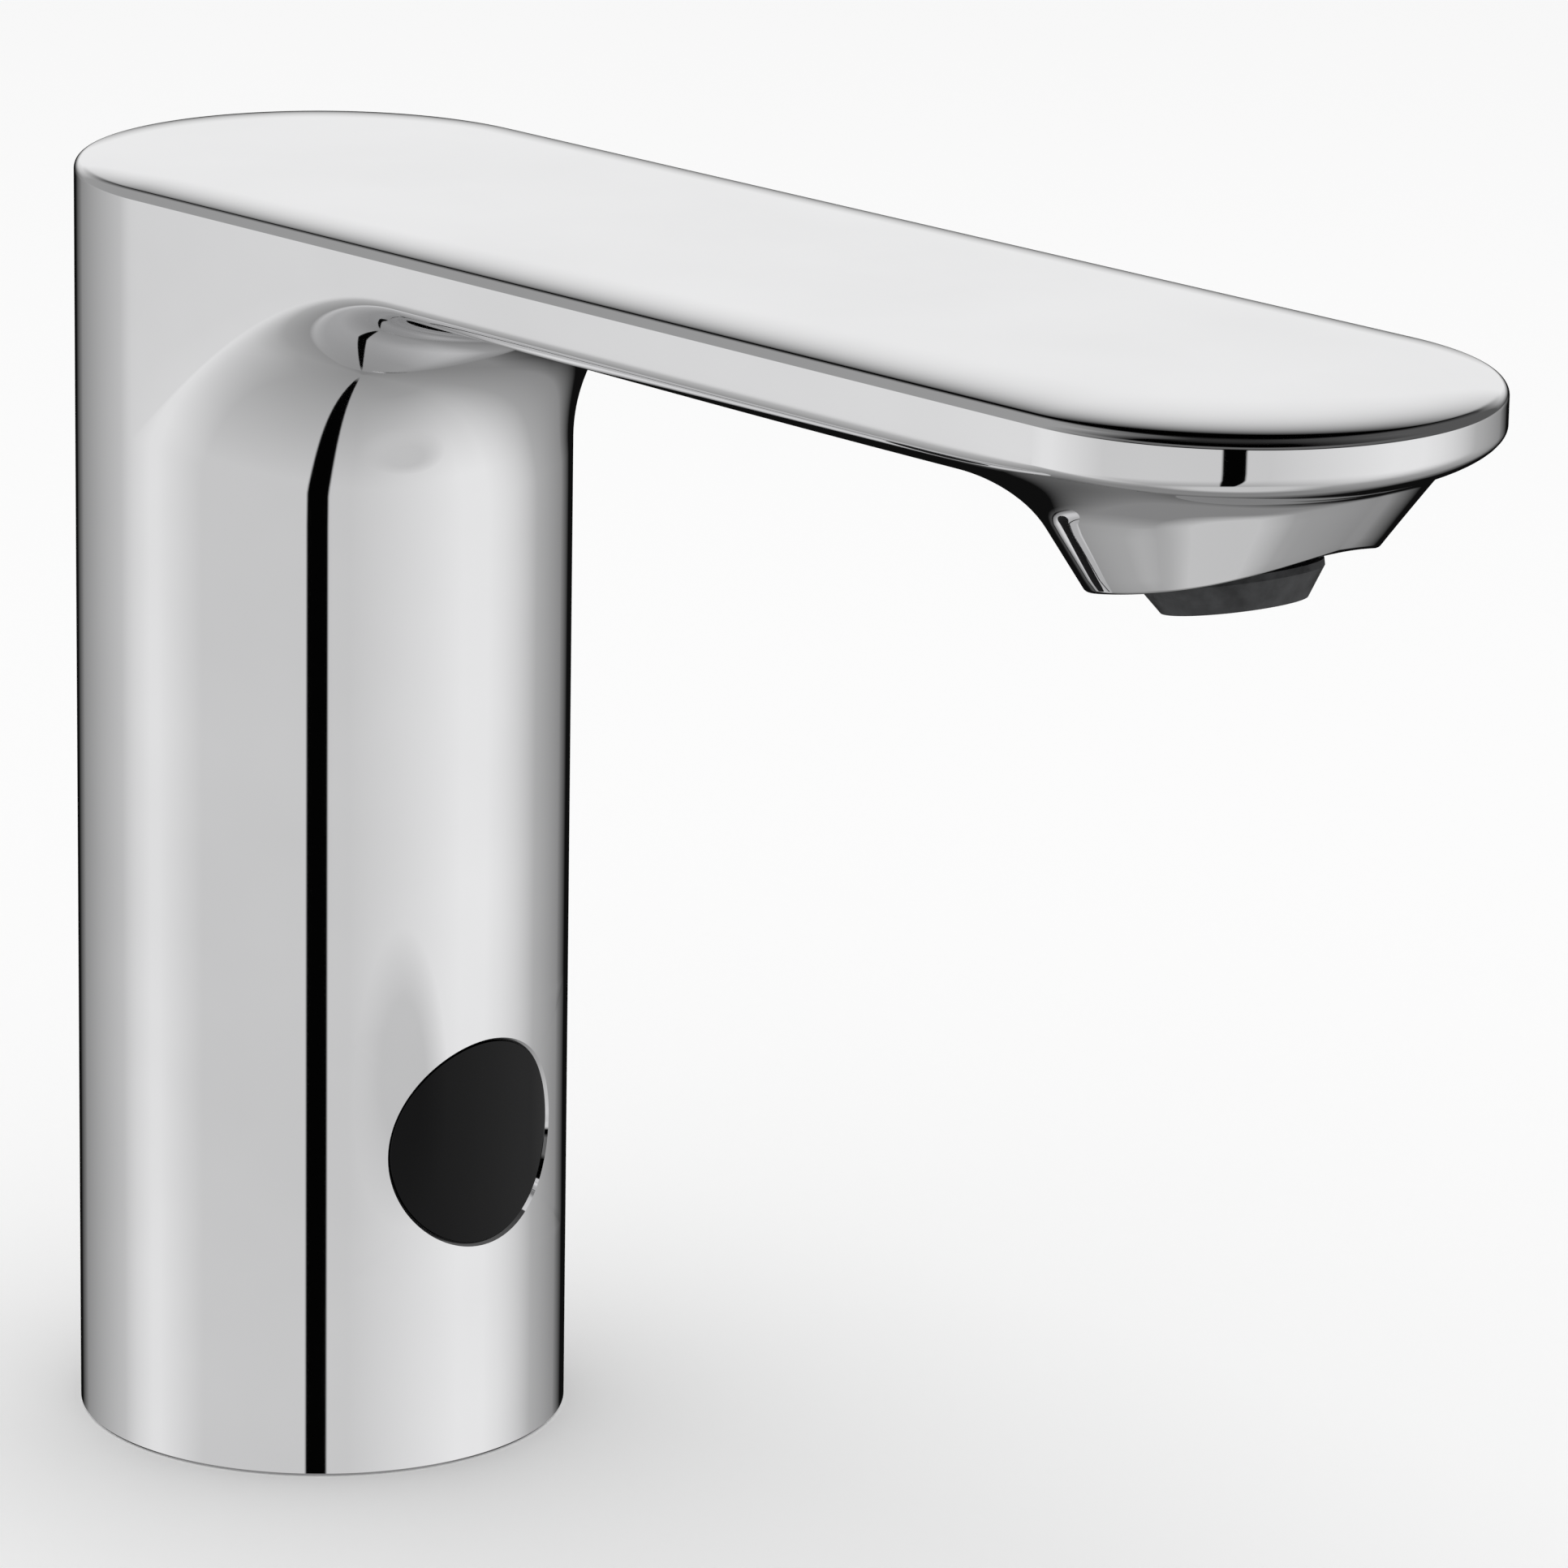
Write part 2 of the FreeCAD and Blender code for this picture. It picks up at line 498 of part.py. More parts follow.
# ---------------------------------------------------------------- water inlet
VALVE = dict(x="valve_x")
node("inlet_connector", turned("connector", [
    ("inlet_core_radius", "0"), ("connector_radius", "0"), ("connector_radius", "plate_thickness"),
    ("connector_flange_radius", "plate_thickness"),
    ("connector_flange_radius", "plate_thickness + connector_flange_height"),
    ("connector_radius", "plate_thickness + connector_flange_height"), ("connector_radius", "connector_height"),
    ("spigot_radius", "connector_height"), ("spigot_radius", "connector_height + 1.6 * ring_section"),
    ("spigot_radius - 1.8 * ring_section", "connector_height + 1.6 * ring_section"),
    ("spigot_radius - 1.8 * ring_section", "connector_height + 3.8 * ring_section"),
    ("spigot_radius", "connector_height + 3.8 * ring_section"), ("spigot_radius", "connector_height + spigot_height"),
    ("passage_radius", "connector_height + spigot_height"), ("passage_radius", "inlet_thread_depth"),
    ("inlet_core_radius", "inlet_thread_depth")], z="gasket_height", **VALVE))
node("inlet_oring", torus("connector_ring", "spigot_radius - 0.9 * ring_section", "ring_section * 0.88",
                          z="shoulder_z + 2.7 * ring_section", **VALVE))


def strainer():
    """Perforated disc at the end of the inlet's thread."""
    height = "gasket_height + inlet_thread_depth"
    disc = cylinder("strainer_disc", "passage_radius - fit", "strainer_height", z=height, **VALVE)
    holes = []
    for row in (-1, 0, 1):
        for place_in_row in (-1, 0, 1):
            holes.append(cylinder("strainer_hole_%d_%d" % (row + 1, place_in_row + 1), "strainer_hole_radius",
                                  "strainer_height * 3", x="valve_x + strainer_pitch * %d" % row,
                                  y="strainer_pitch * %d" % place_in_row, z=height + " - strainer_height"))
    return cut("strainer_plate", disc, *holes)


node("inlet_strainer", strainer())

# check valve cartridge, standing on the connector's spigot
node("check_valve_body", turned("check_body", [
    ("check_seat_radius", "0"), ("check_radius", "0"), ("check_radius", "check_height"),
    ("check_seat_radius", "check_height"), ("check_seat_radius", "check_height - check_wall"),
    ("check_radius - check_wall", "check_height - check_wall"), ("check_radius - check_wall", "check_wall"),
    ("check_seat_radius", "check_wall")], z="spigot_top", **VALVE))
node("check_valve_poppet", turned("check_poppet", [
    ("0", "0"), ("check_seat_radius + 0.7", "0"), ("check_seat_radius + 0.7", "0.8"), ("1.2", "0.8"), ("1.2", "2.6"),
    ("0", "2.6")], z="spigot_top + check_wall + fit", **VALVE))
node("check_valve_spring", spring("check_spring", "1.7", "0.22", "check_height - 2 * check_wall - 3 * fit - 0.8", 4,
                                  "valve_x", "spigot_top + check_wall + 2 * fit + 0.8"))

# ---------------------------------------------------------------- valve


def ring_of(name, maker, count, circle, start=45):
    """Copies of a piece on a circle round the valve's axis."""
    copies = []
    for index in range(count):
        angle = start + 360 * index / count
        copies.append(maker("%s_%d" % (name, index), "valve_x + %s * cos(%g deg)" % (circle, angle),
                            "%s * sin(%g deg)" % (circle, angle)))
    return copies


def valve_body():
    """Moulded body: socket, check valve chamber, seat, outlet groove and outlet arm."""
    blank = cylinder("valve_blank", "valve_radius", "valve_height", z="shoulder_z", **VALVE)
    arm = box("valve_arm", "valve_x - hose_x + hose_radius", "2 * hose_radius + 0.4", "annulus_depth + 4",
              x="hose_x - hose_radius - 0.2", y="-hose_radius - 0.2", z="seat_z - annulus_depth - 4")
    socket = cylinder("valve_socket", "spigot_radius + fit", "spigot_height + 1 + fit", z="shoulder_z - 1", **VALVE)
    chamber = cylinder("valve_chamber", "check_radius + fit", "valve_height", z="shoulder_z", **VALVE)
    groove = cut("valve_groove", cylinder("groove_outer", "annulus_radius", "annulus_depth + 1",
                                          z="seat_z - annulus_depth", **VALVE),
                 cylinder("groove_inner", "seat_radius + 0.4", "annulus_depth + 3", z="seat_z - annulus_depth - 1", **VALVE))
    duct = cylinder("valve_duct", "hose_bore * 0.8", "valve_x - hose_x - annulus_radius + 1.5", x="hose_x",
                    z="seat_z - annulus_depth + hose_bore * 0.8", **ALONG_X)
    outlet = cylinder("valve_outlet", "hose_bore + fit", "annulus_depth + 1", x="hose_x", z="seat_z - annulus_depth")
    holes = ring_of("valve_hole", lambda name, x, y: cylinder(name, "valve_screw_radius + fit", "valve_screw_reach",
                                                              x=x, y=y, z="seat_z - valve_screw_reach + cover_height"),
                    4, "valve_screw_circle")
    return cut("valve_moulding", fuse("valve_solid", blank, arm), socket, chamber, groove, duct, outlet, *holes)


node("valve_body", valve_body())
node("diaphragm", turned("diaphragm_rubber", [
    ("pilot_radius", "0"), ("diaphragm_radius", "0"), ("diaphragm_radius", "diaphragm_height"),
    ("pilot_radius", "diaphragm_height")], z="seat_z", **VALVE))
node("diaphragm_insert", turned("diaphragm_plate", [
    ("pilot_radius", "0"), ("insert_radius", "0"), ("insert_radius", "insert_height * 0.6"),
    ("insert_radius - 1", "insert_height"), ("pilot_radius", "insert_height")], z="cover_z", **VALVE))


def valve_cover():
    """Cap that clamps the diaphragm's rim and holds the armature tube."""
    blank = turned("cover_blank", [
        ("chamber_radius", "-diaphragm_height"), ("valve_radius", "-diaphragm_height"), ("valve_radius", "cover_height"),
        ("tube_radius + fit", "cover_height"), ("tube_radius + fit", "chamber_height"),
        ("chamber_radius", "chamber_height")], z="cover_z", **VALVE)
    seat = cylinder("diaphragm_seat", "diaphragm_radius + fit", "diaphragm_height + 1", z="seat_z - 1", **VALVE)
    holes = ring_of("cover_hole", lambda name, x, y: cylinder(name, "valve_screw_radius + fit", "cover_height + 3",
                                                              x=x, y=y, z="seat_z - 1"), 4, "valve_screw_circle")
    return cut("cover_cap", blank, seat, *holes)


node("valve_cover", valve_cover())


def valve_screw(name, x, y):
    head = cylinder(name + "_head", "valve_screw_radius * screw_head_ratio", "1.2", x=x, y=y, z="cover_top")
    shank = cylinder(name + "_shank", "valve_screw_radius", "valve_screw_reach", x=x, y=y,
                     z="cover_top - valve_screw_reach")
    drive = cylinder(name + "_drive", "valve_screw_radius * 0.8", "1", x=x, y=y, z="cover_top + 0.5")
    return cut(name, fuse(name + "_blank", head, shank), drive)


node("valve_screws", group("valve_screw_set", *ring_of("valve_screw", valve_screw, 4, "valve_screw_circle")))

# ---------------------------------------------------------------- solenoid
node("armature_tube", turned("armature_sleeve", [
    ("tube_radius - tube_wall", "0"), ("tube_radius", "0"), ("tube_radius", "tube_height"),
    ("tube_radius - tube_wall", "tube_height")], z="chamber_top", **VALVE))
node("plunger", turned("plunger_body", [
    ("0", "0"), ("plunger_tip_radius", "0"),
    ("plunger_tip_radius", "chamber_height - insert_height - tip_gap + 0.6"),
    ("tube_radius - tube_wall - fit", "chamber_height - insert_height - tip_gap + 0.6"),
    ("tube_radius - tube_wall - fit", "plunger_height"), ("2.4", "plunger_height"), ("2.4", "plunger_height - 3"),
    ("0", "plunger_height - 3")], z="cover_z + insert_height + tip_gap", **VALVE))
node("fixed_core", turned("fixed_core_plug", [
    ("0", "0"), ("tube_radius - tube_wall - fit * 0.2", "0"), ("tube_radius - tube_wall - fit * 0.2", "core_height"),
    ("tube_radius", "core_height"), ("tube_radius", "core_height + core_flange"), ("0", "core_height + core_flange")],
    z="tube_top - core_height", **VALVE))
spring_foot = "cover_z + insert_height + tip_gap + plunger_height - 3"
node("plunger_spring", spring("armature_spring", "1.9", "0.2",
                              "tube_top - core_height - (" + spring_foot + ") - fit * 2", 5, "valve_x",
                              spring_foot + " + fit"))
node("coil_bobbin", turned("bobbin", [
    ("tube_radius + fit", "0"), ("coil_radius + coil_flange", "0"), ("coil_radius + coil_flange", "bobbin_wall"),
    ("tube_radius + fit + bobbin_wall", "bobbin_wall"),
    ("tube_radius + fit + bobbin_wall", "bobbin_height - bobbin_wall"),
    ("coil_radius + coil_flange", "bobbin_height - bobbin_wall"), ("coil_radius + coil_flange", "bobbin_height"),
    ("tube_radius + fit", "bobbin_height")], z="cover_top + yoke_wall", **VALVE))
node("solenoid_coil", turned("winding", [
    ("tube_radius + fit + bobbin_wall + fit", "bobbin_wall"), ("coil_radius", "bobbin_wall"),
    ("coil_radius", "bobbin_height - bobbin_wall"), ("tube_radius + fit + bobbin_wall + fit", "bobbin_height - bobbin_wall")],
    z="cover_top + yoke_wall", **VALVE))


def yoke():
    """Steel can round the coil, open at two sides."""
    can = cylinder("yoke_outer", "yoke_radius + yoke_wall", "bobbin_height + 2 * yoke_wall", z="cover_top", **VALVE)
    room = cylinder("yoke_inner", "yoke_radius", "bobbin_height", z="cover_top + yoke_wall", **VALVE)
    hole = cylinder("yoke_hole", "tube_radius + fit", "bobbin_height + 4 * yoke_wall", z="cover_top - yoke_wall", **VALVE)
    slot = box("yoke_slot", "coil_radius", "4 * coil_radius", "bobbin_height", x="valve_x - coil_radius / 2",
               y="-2 * coil_radius", z="cover_top + yoke_wall")
    return cut("yoke_can", can, room, hole, slot)


node("solenoid_yoke", yoke())
node("latch_magnet", cylinder("magnet", "tube_radius + 1.5", "magnet_height", z="tube_top + core_flange", **VALVE))

# ---------------------------------------------------------------- hose
node("outlet_stub", turned("stub", [
    ("hose_bore - 0.7", "0"), ("hose_bore", "0"), ("hose_bore", "annulus_depth"), ("hose_radius", "annulus_depth"),
    ("hose_radius", "annulus_depth + stub_height"), ("hose_bore - fit", "annulus_depth + stub_height"),
    ("hose_bore - fit", "annulus_depth + stub_height + barb_length"),
    ("hose_bore - 0.7", "annulus_depth + stub_height + barb_length")], x="hose_x", z="seat_z - annulus_depth"))


def hose():
    """Tube up the back of the column and along the spout, one bend."""
    foot = FreeCAD.Vector(number("hose_x"), 0, number("seat_z + stub_height"))
    bend = number("hose_bend")
    level = number("channel_z")
    lower = FreeCAD.Vector(foot.x, 0, level - bend)
    upper = FreeCAD.Vector(foot.x + bend, 0, level)
    middle = FreeCAD.Vector(foot.x + bend * (1 - math.cos(math.pi / 4)), 0, level - bend * (1 - math.sin(math.pi / 4)))
    end = FreeCAD.Vector(number("bush_x"), 0, level)
    path = Part.Wire([Part.makeLine(foot, lower), Part.Arc(lower, middle, upper).toShape(), Part.makeLine(upper, end)])
    tubes = []
    for size in ("hose_radius", "hose_bore"):
        circle = Part.Wire(Part.makeCircle(number(size), foot, FreeCAD.Vector(0, 0, 1)))
        tubes.append(path.makePipeShell([circle], True, False))
    item = doc.addObject("Part::Feature", "hose")
    item.Shape = tubes[0].cut(tubes[1])
    return item


node("outlet_hose", hose())
node("hose_clip", turned("clip", [
    ("hose_radius + fit", "0"), ("hose_radius + clip_wall", "0"), ("hose_radius + clip_wall", "clip_height"),
    ("hose_radius + fit", "clip_height")], x="hose_x", z="seat_z + stub_height + 2"))
node("spout_bush", turned("bush", [
    ("hose_bore - 0.7", "-barb_length"), ("hose_bore - fit", "-barb_length"), ("hose_bore - fit", "0"),
    ("channel_radius - fit", "0"), ("channel_radius - fit", "bush_length"), ("hose_bore - 0.7", "bush_length")],
    x="bush_x", z="channel_z", **ALONG_X))

# ---------------------------------------------------------------- outlet, in the tilted frame of the bore
MOUTH = dict(x="boss_x", z="boss_z", **TILTED)


def aerator_housing():
    """Ring in the bore with the round socket of the nozzle's ball."""
    ring = turned("housing_ring", [
        ("regulator_radius - 1.4", "recess_depth"), ("bore_radius - fit", "recess_depth"),
        ("bore_radius - fit", "recess_depth + housing_length"),
        ("regulator_radius + fit", "recess_depth + housing_length"),
        ("regulator_radius + fit", "recess_depth + housing_length - regulator_height"),
        ("regulator_radius - 1.4", "recess_depth + housing_length - regulator_height")], **MOUTH)
    socket = bind(doc.addObject("Part::Sphere", "housing_socket"), Radius="ball_radius + ball_gap")
    place(socket, x="boss_x - ball_height * sin(outlet_tilt * 1 deg)", z="boss_z + ball_height * cos(outlet_tilt * 1 deg)")
    return cut("housing", ring, socket)


node("aerator_housing", aerator_housing())
node("flow_regulator", turned("regulator", [
    ("1.3", "recess_depth + housing_length - regulator_height"),
    ("regulator_radius", "recess_depth + housing_length - regulator_height"),
    ("regulator_radius", "recess_depth + housing_length"), ("1.3", "recess_depth + housing_length")], **MOUTH))
node("aerator_seal", turned("seal", [
    ("channel_radius + 1.4", "recess_depth + housing_length"), ("bore_radius - 0.4", "recess_depth + housing_length"),
    ("bore_radius - 0.4", "bore_depth"), ("channel_radius + 1.4", "bore_depth")], **MOUTH))
BALL = dict(x="boss_x - ball_height * sin(outlet_tilt * 1 deg)", z="boss_z + ball_height * cos(outlet_tilt * 1 deg)",
            axis=(0, -1, 0), turn="nozzle_tilt")


def nozzle():
    """Swivel nozzle: ball, neck, flange and tapered rim, bored through."""
    ball = bind(doc.addObject("Part::Sphere", "nozzle_ball"), Radius="ball_radius")
    place(ball, **BALL)
    reach = cylinder("ball_reach", "ball_radius", "ball_cap + nozzle_drop - taper_height", **{
        **BALL, "x": BALL["x"] + " + (nozzle_drop - taper_height) * sin(nozzle_tilt * 1 deg)",
        "z": BALL["z"] + " - (nozzle_drop - taper_height) * cos(nozzle_tilt * 1 deg)"})
    skirt = turned("nozzle_skirt", [
        ("nozzle_bore", "-nozzle_drop"), ("rim_radius", "-nozzle_drop"), ("flange_radius", "-nozzle_drop + taper_height"),
        ("flange_radius", "-nozzle_drop + taper_height + flange_height"),
        ("nozzle_bore", "-nozzle_drop + taper_height + flange_height")], **BALL)
    bore = cylinder("nozzle_hole", "nozzle_bore", "nozzle_drop + ball_cap + 2", **{
        **BALL, "x": BALL["x"] + " + (nozzle_drop + 1) * sin(nozzle_tilt * 1 deg)",
        "z": BALL["z"] + " - (nozzle_drop + 1) * cos(nozzle_tilt * 1 deg)"})
    return cut("nozzle_turned", fuse("nozzle_solid", common("ball_slice", ball, reach), skirt), bore)


node("nozzle", nozzle())


def straightener():
    """Perforated disc that shows inside the nozzle's rim."""
    drop = "(nozzle_drop - straightener_set)"
    place_at = {**BALL, "x": BALL["x"] + " + " + drop + " * sin(nozzle_tilt * 1 deg)",
                "z": BALL["z"] + " - " + drop + " * cos(nozzle_tilt * 1 deg)"}
    disc = cylinder("straightener_disc", "nozzle_bore - fit", "straightener_height", **place_at)
    pitch = number("jet_pitch")
    rings = int((number("nozzle_bore") - 2 * number("jet_radius")) / pitch)
    holes = []
    for ring in range(rings + 1):
        for step in range(max(1, 6 * ring)):
            angle = 2 * math.pi * step / max(1, 6 * ring)
            hole = Part.makeCylinder(number("jet_radius"), 3 * number("straightener_height"),
                                     FreeCAD.Vector(ring * pitch * math.cos(angle), ring * pitch * math.sin(angle),
                                                    -number("straightener_height")))
            holes.append(hole)
    jets = doc.addObject("Part::Feature", "straightener_jets")
    jets.Shape = Part.makeCompound(holes)
    place(jets, **place_at)
    return cut("straightener_plate", disc, jets)


node("flow_straightener", straightener())

# ---------------------------------------------------------------- sensor


def sensor_window():
    """Smoked lens: a plug in the column's hole with a face as round as the column."""
    plug = cylinder("window_plug", "window_radius - fit", "column_radius - window_back", x="window_back",
                    z="window_z", **ALONG_X)
    face = cylinder("window_face", "column_radius - window_recess", "2 * window_radius + 4",
                    z="window_z - window_radius - 2")
    return common("window_lens", plug, face)


node("sensor_window", sensor_window())
SENSOR = dict(z="window_z", **ALONG_X)
node("window_gasket", turned("window_ring", [
    ("window_radius + fit", "0"), ("sensor_radius", "0"), ("sensor_radius", "seal_height"),
    ("window_radius + fit", "seal_height")], x="window_back", **SENSOR))
node("sensor_housing", cut("sensor_cup", turned("sensor_pot", [
    ("0", "0"), ("sensor_radius", "0"), ("sensor_radius", "window_back - sensor_back"),
    ("sensor_radius - sensor_wall", "window_back - sensor_back"), ("sensor_radius - sensor_wall", "sensor_wall"),
    ("0", "sensor_wall")], x="sensor_back", **SENSOR),
    cylinder("sensor_hole_left", "sensor_screw_radius + fit", "2 * sensor_wall", x="sensor_back - 0.2",
             y="sensor_screw_y", **SENSOR),
    cylinder("sensor_hole_right", "sensor_screw_radius + fit", "2 * sensor_wall", x="sensor_back - 0.2",
             y="-sensor_screw_y", **SENSOR)))


def sensor_screw(name, y):
    shank = cylinder(name + "_shank", "sensor_screw_radius", "sensor_wall + bracket_thickness",
                     x="sensor_back - bracket_thickness", y=y, **SENSOR)
    head = cylinder(name + "_head", "sensor_screw_radius * screw_head_ratio", "1.0", x="sensor_back + sensor_wall",
                    y=y, **SENSOR)
    return fuse(name, shank, head)


node("sensor_screws", group("sensor_screw_pair", sensor_screw("sensor_screw_left", "sensor_screw_y"),
                            sensor_screw("sensor_screw_right", "-sensor_screw_y")))


def circuit_board():
    """Board of the sensor, on four pegs of its housing."""
    board = box("board", "board_thickness", "board_width", "board_height", x="board_x", y="-board_width / 2",
                z="window_z - board_height / 2")
    pegs = []
    for side_name, sign in (("left", "1"), ("right", "-1")):
        pegs.append(box("board_peg_" + side_name, "board_x - sensor_back - sensor_wall", "1.6", "1.6",
                        x="sensor_back + sensor_wall", y=sign + " * (board_width / 2 - 5) - 0.8",
                        z="window_z + board_height / 2 - 1.8"))
    chip = box("board_chip", "1.2", "5", "4", x="board_x + board_thickness", y="-2.5", z="window_z - 5.5")
    return fuse("board_set", board, chip, *pegs)


node("circuit_board", circuit_board())
for label, y in (("infrared_emitter", "diode_y"), ("infrared_receiver", "-diode_y")):
    node(label, turned(label + "_diode", [
        ("0", "0"), ("diode_radius + 0.4", "0"), ("diode_radius + 0.4", "0.8"), ("diode_radius", "0.8"),
        ("diode_radius", "diode_length - 1"), ("diode_radius * 0.7", "diode_length - 0.3"), ("0", "diode_length")],
        x="board_x + board_thickness", y=y, **SENSOR))

# ---------------------------------------------------------------- carrier, battery and leads


def carrier():
    """Frame on the base plate: four legs, a floor for the battery, a bracket for the sensor."""
    legs = []
    for side_name, sign, shift in (("left", "1", "0"), ("right", "-1", "-leg_thickness")):
        for row, x, y in (("front", "front_leg_x", "front_leg_y"), ("back", "back_leg_x", "back_leg_y")):
            legs.append(box("leg_%s_%s" % (row, side_name), "leg_width", "leg_thickness", "deck_z - plate_top + 1",
                            x=x, y="%s * %s + %s" % (sign, y, shift), z="plate_top"))
    floor = cylinder("carrier_floor", "deck_radius", "deck_thickness", z="deck_z")
    bracket = box("sensor_bracket", "bracket_thickness", "2 * front_leg_y + 1", "2 * sensor_radius",
                  x="sensor_back - bracket_thickness", y="-front_leg_y - 0.5", z="window_z - sensor_radius")
    holes = [
        cylinder("hose_hole", "hose_radius + 1", "3 * deck_thickness", x="hose_x", z="deck_z - deck_thickness"),
        cylinder("lead_hole", "2 * lead_radius + 0.3", "3 * deck_thickness", x="lead_x", z="deck_z - deck_thickness"),
    ]
    for side_name, y in (("left", "sensor_screw_y"), ("right", "-sensor_screw_y")):
        holes.append(cylinder("bracket_hole_" + side_name, "sensor_screw_radius + fit", "3 * bracket_thickness",
                              x="sensor_back - 2 * bracket_thickness", y=y, **SENSOR))
    return cut("carrier_frame", fuse("carrier_solid", floor, bracket, *legs), *holes)


node("carrier", carrier())
node("battery_holder", cut("holder_tray", box(
    "holder_block", "holder_depth", "holder_width", "holder_height", x="battery_x - holder_depth / 2",
    y="-holder_width / 2", z="holder_floor"), box(
    "holder_room", "battery_depth + 2 * holder_gap", "battery_width + 2 * holder_gap", "holder_height",
    x="battery_x - battery_depth / 2 - holder_gap", y="-battery_width / 2 - holder_gap", z="holder_floor + holder_wall")))
contacts = [box("contact_" + name, "contact_size", "contact_size", "contact_height", x="battery_x - contact_size / 2",
                y=y + " - contact_size / 2", z="holder_floor + holder_wall")
            for name, y in (("plus", "battery_width / 4"), ("minus", "-battery_width / 4"))]
node("battery_contacts", group("contact_pair", *contacts))


def battery():
    """Two lithium cells side by side in one wrapped block."""
    cell_radius = "battery_depth / 2"
    cells = []
    for name, sign in (("left", "1"), ("right", "-1")):
        cells.append(cylinder("cell_" + name, cell_radius, "battery_height", x="battery_x",
                              y=sign + " * (battery_width / 2 - battery_depth / 2)",
                              z="holder_floor + holder_wall + contact_height"))
    web = box("cell_web", "battery_depth * 0.7", "battery_width - battery_depth", "battery_height",
              x="battery_x - battery_depth * 0.35", y="-(battery_width - battery_depth) / 2",
              z="holder_floor + holder_wall + contact_height")
    return fuse("battery_pack", web, *cells)


node("battery", battery())
node("sensor_lead", cylinder("board_cable", "lead_radius", "deck_z + deck_thickness - window_z - sensor_radius", x="lead_x",
                             z="window_z + sensor_radius"))
node("solenoid_lead", cylinder("coil_cable", "lead_radius", "deck_z - cover_top - bobbin_height - 2 * yoke_wall",
                               x="valve_x + coil_radius - 0.5", z="cover_top + bobbin_height + 2 * yoke_wall"))

# ---------------------------------------------------------------- build, check and write
doc.recompute()
faulty = [item.Label for item in doc.Objects if "Invalid" in item.State or "Error" in item.State]
if faulty:
    raise RuntimeError("failed: " + ", ".join(faulty))
for item in nodes:
    if item.Shape.isNull() or not item.Shape.isValid() or not item.Shape.Solids:
        raise RuntimeError("not a sound solid: " + item.Label)
os.makedirs("parts", exist_ok=True)
for item in nodes:
    item.Shape.exportStep("parts/%s.step" % item.Label)
    print("%-20s solids %d volume %9.1f" % (item.Label, len(item.Shape.Solids), item.Shape.Volume))
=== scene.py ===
"""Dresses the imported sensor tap: the polished body is a new piece, and all others keep their solids."""
import math
import bmesh
import bpy
from mathutils import Matrix, Vector


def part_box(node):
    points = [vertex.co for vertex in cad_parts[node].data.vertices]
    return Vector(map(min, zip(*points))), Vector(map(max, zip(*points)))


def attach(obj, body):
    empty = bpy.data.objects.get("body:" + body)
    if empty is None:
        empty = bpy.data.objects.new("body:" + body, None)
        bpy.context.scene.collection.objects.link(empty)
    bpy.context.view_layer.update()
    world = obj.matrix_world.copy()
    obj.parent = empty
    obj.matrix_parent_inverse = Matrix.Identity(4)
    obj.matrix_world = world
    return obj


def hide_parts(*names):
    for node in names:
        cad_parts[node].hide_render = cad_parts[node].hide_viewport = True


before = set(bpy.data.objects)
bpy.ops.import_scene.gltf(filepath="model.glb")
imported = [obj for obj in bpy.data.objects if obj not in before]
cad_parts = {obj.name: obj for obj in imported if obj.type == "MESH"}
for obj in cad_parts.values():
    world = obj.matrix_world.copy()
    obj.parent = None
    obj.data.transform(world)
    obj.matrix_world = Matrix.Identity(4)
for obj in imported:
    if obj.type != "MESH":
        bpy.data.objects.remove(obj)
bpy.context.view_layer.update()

MM = 0.001

# ------------------------------------------------------------------ sizes, in millimetres
_, casting_high = (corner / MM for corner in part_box("body_casting"))
window_low, window_high = (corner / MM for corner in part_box("sensor_window"))
# the column and the spout's plan, with their room inside
COLUMN = casting_high.y
TOP = casting_high.z
NOSE_X = casting_high.x - COLUMN
INSIDE = 23.8
CEILING = TOP - 3.5
BASE_RIM = 26.1
BASE_DEPTH = 1.5
FOOT_EDGE = 0.25
# the spout's top: a round edge and a slight crown
TOP_ROUND = 1.1
BRIM_SLOPE, BRIM_RUN = 0.13, 2.0
CROWN_SLOPE, CROWN_RUN = 0.045, 8.0
# the spout's underside
SLAB_EDGE = TOP - 5.4
ROOT_ROUND = 22.0
NECK_Z = 100.0
FAN_END = 60.0
FINE_START = 96.0
BELLY_START = 118.0
BELLY_DEPTH = 4.9
BELLY_GROWTH = 2.2
BELLY_EASE_START = 0.7
BELLY_EASE = 0.6
NOSE_LIFT = 1.2
# the window's hole
WINDOW_Z = (window_low.z + window_high.z) / 2
WINDOW_BAND = 16
HOLE_OUTER = 11.7
HOLE_INNER = 11.3
HOLE_CHAMFER = 0.45
# the outlet
MOUTH_X = 135.0
MOUTH_Z = 121.7
MOUTH_SLOPE = 0.305
MOUTH_LONG = 13.5
MOUTH_WIDE = 14.2
FLARE_FRONT = math.radians(40)
FLARE_BACK = math.radians(29)
FLARE_SIDE = math.radians(33)
BLEND_FRONT, BLEND_BACK, BLEND_SIDE = 2.5, 14, 13
BLEND_PULL = 0.6
BLEND_WALL_SHARE = 0.8
LIP_ROUND = 0.8
LIP_SAG = 1.2
LIP_SAG_AT = 1.0
LIP_SAG_WIDTH = 0.8
BORE = 10.2
BORE_CHAMFER = 0.3
BORE_RECESS = 0.25
BORE_DEPTH = 9.5


# ------------------------------------------------------------------ the polished body
def belly_depth(x):
    """How far the underside hangs below the slab's edge on the middle line."""
    along = min(max(x / BELLY_START, 0), 1)
    ease = max(along - BELLY_EASE_START, 0) ** 2 / BELLY_EASE
    return BELLY_DEPTH + BELLY_GROWTH * (along - ease)


